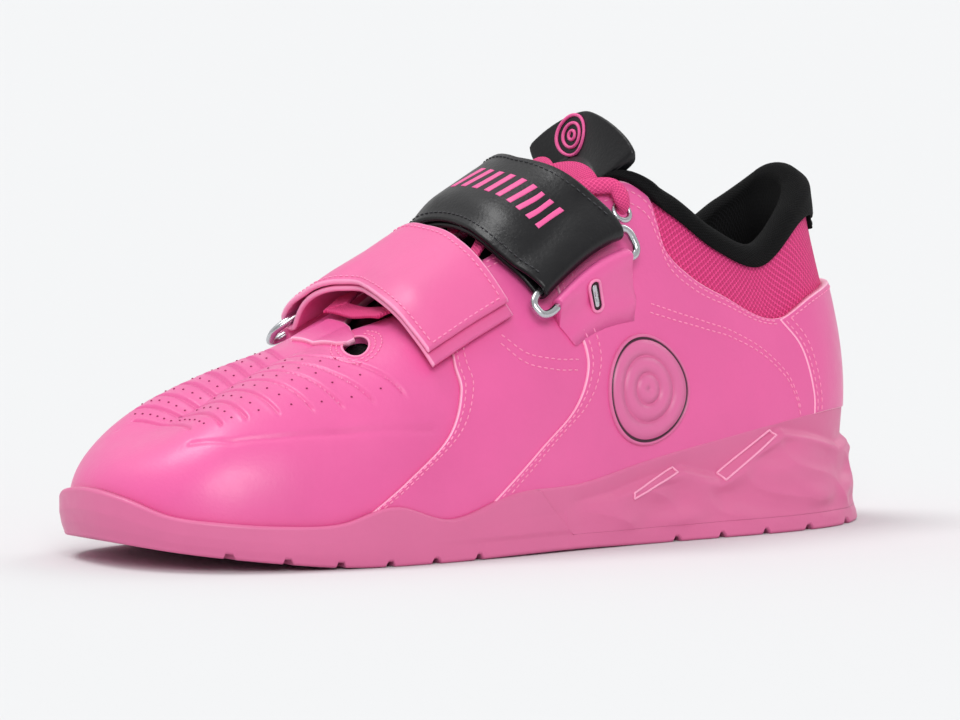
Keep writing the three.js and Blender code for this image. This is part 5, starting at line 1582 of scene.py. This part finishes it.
def ring_solid(name, loop, bridge, look, slot, grooved=False):
    """Closes a band of columns that runs round the shoe by bridging its first and its last column across."""
    ni, nj = loop.shape[:2]
    half = ni // 2 + 1
    points, faces = [loop.reshape(-1, 3)], [grid_faces(ni, nj)]
    for column in (0, nj - 1):
        near, far = loop[:half, column], loop[::-1, column][:half]
        strip = mix(near[:, None], far[:, None], np.linspace(0, 1, bridge)[None, :, None])
        if grooved and column == 0:
            strip[..., 2] += groove_lift(strip[..., 0])
        faces.append(grid_faces(half, bridge, start=sum(len(part) for part in points)))
        points.append(strip.reshape(-1, 3))
    return make(name, np.concatenate(points), faces, look, slot, [name])


def lip_columns(rows, height):
    """From the top of the lip in to the upper and down beside it to below the insole."""
    row, own = wrap(rows, 1.0)
    base, out = base_point(row, own), outward(row, own)
    columns = []
    for inset, drop in LIP_TOP:
        point = base + out * (LIP - inset)
        point[..., 2] = height - drop
        columns.append(point)
    v = lift_at_height(row, own, height - 0.2)
    columns += [skin_point(row, own, v * share, 0.02) for share in (1.0, 0.6, 0.3, 0.0)]
    return np.stack(columns, 1)


def heel_wedge():
    rows = np.linspace(-SEAM_ROW, SEAM_ROW, WEDGE_STEPS)
    row, own = wrap(rows, 1.0)
    edge = sole_value("edge", row, own)
    low = np.minimum(seam_height(base_point(row, own)[:, 0] - 0.15), edge - SOLE_EDGE)
    grid = wall_face(rows[:, None], 1.0, levels(low, edge - SOLE_EDGE, WEDGE_LEVELS))
    inner = grid[:, :1] - (outward(row, own) * SEAM_INSET)[:, None]
    band = np.concatenate([inner, grid, lip_columns(rows, edge)], 1)
    ring_solid("heel_wedge", band, 8, sole_rubber, "sole_pink")


def outsole():
    rows = there_and_back(stepped([0, SEAM_ROW - 0.6, SEAM_ROW + 0.1, TOE_ROW], SOLE_STEPS))
    row, own = wrap(rows, 1.0)
    x, out = base_point(row, own)[:, 0], outward(row, own)
    edge = sole_value("edge", row, own)
    seam = np.where(x < SEAM_BOTTOM[0], TREAD_LAYER, seam_height(x) - SEAM_GAP)
    low = np.maximum(0, sole_value("lift", row, own)) + groove_lift(x)
    z = levels(low + 0.9, np.maximum(np.minimum(seam, edge - SOLE_EDGE), low + 1.2), SOLE_LEVELS)
    proud = SEAM_PROUD * smoothstep(z, TREAD_LAYER, TREAD_LAYER + 2) * smoothstep(8.6 - row[:, None], 0, 1.6)
    grid = wall_face(rows[:, None], 1.0, z, proud * (row[:, None] > SEAM_ROW - 1.2))
    columns = []
    for inset, up in ((1, 0), (0.25, 0.3)):
        point = grid[:, 0] - out * inset
        point[:, 2] = low + up
        columns.append(point[:, None])
    lip = lip_columns(rows, edge)
    flat = grid[:, -1:] - (out * SEAM_INSET)[:, None]
    lip = np.where((seam < edge - SOLE_EDGE)[:, None, None], np.broadcast_to(flat, lip.shape), lip)
    band = np.concatenate(columns + [grid, lip], 1)
    ring_solid("outsole", band, 24, sole_rubber, "sole_pink", grooved=True)


heel_wedge()
outsole()

# Slim raised frames on the relief, their light pink a painted highlight of a glossy chamfer, two on each
# side: corners as (row, height)
FRAMES = [[(5.25, 14.3), (5.25, 16.2), (4.62, 22.9), (4.59, 21.4)],
          [(3.93, 17.8), (3.99, 19.9), (3.18, 32.2), (3.09, 30.6)]]
FRAME_WIRE = 0.38


def relief_frames():
    for side, word in SIDES:
        for k, corners in enumerate(FRAMES):
            t = np.linspace(0, 4, 96, endpoint=False)
            row, z = (np.interp(t, np.arange(5), stops) for stops in np.array(corners + corners[:1]).T)
            wire(f"relief_frame_{word}_{k}", wall_face(row, side, z, 0.1), outward(row, side), FRAME_WIRE, 8,
                 highlight_rubber, "sole_pink")


relief_frames()

# The edge of the insole from its foot up: how far each line stands in and how far it lies below the top
INSOLE_EDGE = [[0, INSOLE_THICKNESS], [0, 0.8], [0.25, 0.25], [0.9, 0]]


def insole():
    rows = there_and_back(np.linspace(0, TOE_ROW, 200))
    row, own = wrap(rows, 1.0)
    base, out = base_point(row, own), outward(row, own)
    columns = []
    for more, drop in INSOLE_EDGE:
        point = base - out * (WALL + 2 * GAP + more)
        point[..., 2] += INSOLE_THICKNESS - drop
        columns.append(point)
    ring_solid("insole", np.stack(columns, 1), 16, black_mesh, "black_fabric")


insole()

sew("stitches_pink", thread_pink, "pink_leather")
sew("stitches_black", thread_black, "black_leather")
sew("rib_holes", hole_shade_pink, "pink_leather")

# The floor, the light and the camera
FLOOR_SIZE = 60.0
VIEW_SIDE = (0.57, 0.82, 0)
ROOM_BACK = 0.75
ROOM_FRONT = 0.45
# Each sun: its name, the side it shines from, its strength and its width in degrees
SUNS = [("key", (0.5, -0.5, 1.6), 1.2, 25),
        ("front", (0.9, 1.6, 1.1), 1.5, 30),
        ("rear", (-1.2, -0.2, 0.9), 0.4, 30)]
CAMERA_LENS = 225
CAMERA_FAR = 50
CAMERA_PLACE = (1.0684, 1.5342, 0.2041)
CAMERA_TARGET = (0.0, 0.0, 0.056)


def floor():
    mesh = bpy.data.meshes.new("floor")
    h = FLOOR_SIZE / 2
    mesh.from_pydata([(-h, -h, 0), (h, -h, 0), (h, h, 0), (-h, h, 0)], [], [(0, 1, 2, 3)])
    n = Nodes("floor", 0xD9DADB, 0.9, Specular_IOR_Level=0.0)
    mesh.materials.append(n.finish(Normal=n.bump(n.noise(300, 2), 0.02)))
    add_object("floor", mesh)


def sun(name, place, strength, angle):
    data = bpy.data.lights.new(name, "SUN")
    data.energy = strength
    data.angle = math.radians(angle)
    aim(add_object(name, data), place, (0, 0, 0))


def studio():
    """A pale room that is darker on the viewer's side, so that the shoe's forms keep some shade."""
    world = bpy.data.worlds.new("studio")
    world.use_nodes = True
    tree = world.node_tree
    split = tree.nodes.new("ShaderNodeVectorMath")
    split.operation = "DOT_PRODUCT"
    split.inputs[1].default_value = VIEW_SIDE
    tree.links.new(tree.nodes.new("ShaderNodeTexCoord").outputs["Generated"], split.inputs[0])
    spread = tree.nodes.new("ShaderNodeMapRange")
    spread.interpolation_type = "SMOOTHSTEP"
    limits = {"From Min": -0.3, "From Max": 0.8, "To Min": ROOM_BACK, "To Max": ROOM_FRONT}
    for socket, value in limits.items():
        spread.inputs[socket].default_value = value
    tree.links.new(split.outputs["Value"], spread.inputs["Value"])
    tree.links.new(spread.outputs["Result"], tree.nodes["Background"].inputs["Strength"])
    tree.nodes["Background"].inputs["Color"].default_value = (1, 1, 1, 1)
    bpy.context.scene.world = world


def aim(thing, place, target):
    thing.location = place
    thing.rotation_mode = "QUATERNION"
    thing.rotation_quaternion = (Vector(target) - Vector(place)).to_track_quat("-Z", "Y")


floor()
for lamp in SUNS:
    sun(*lamp)
studio()

camera = add_object("camera", bpy.data.cameras.new("camera"))
camera.data.lens = CAMERA_LENS
camera.data.clip_end = CAMERA_FAR
aim(camera, CAMERA_PLACE, CAMERA_TARGET)
bpy.context.scene.camera = camera
bpy.context.scene.view_settings.view_transform = "Standard"
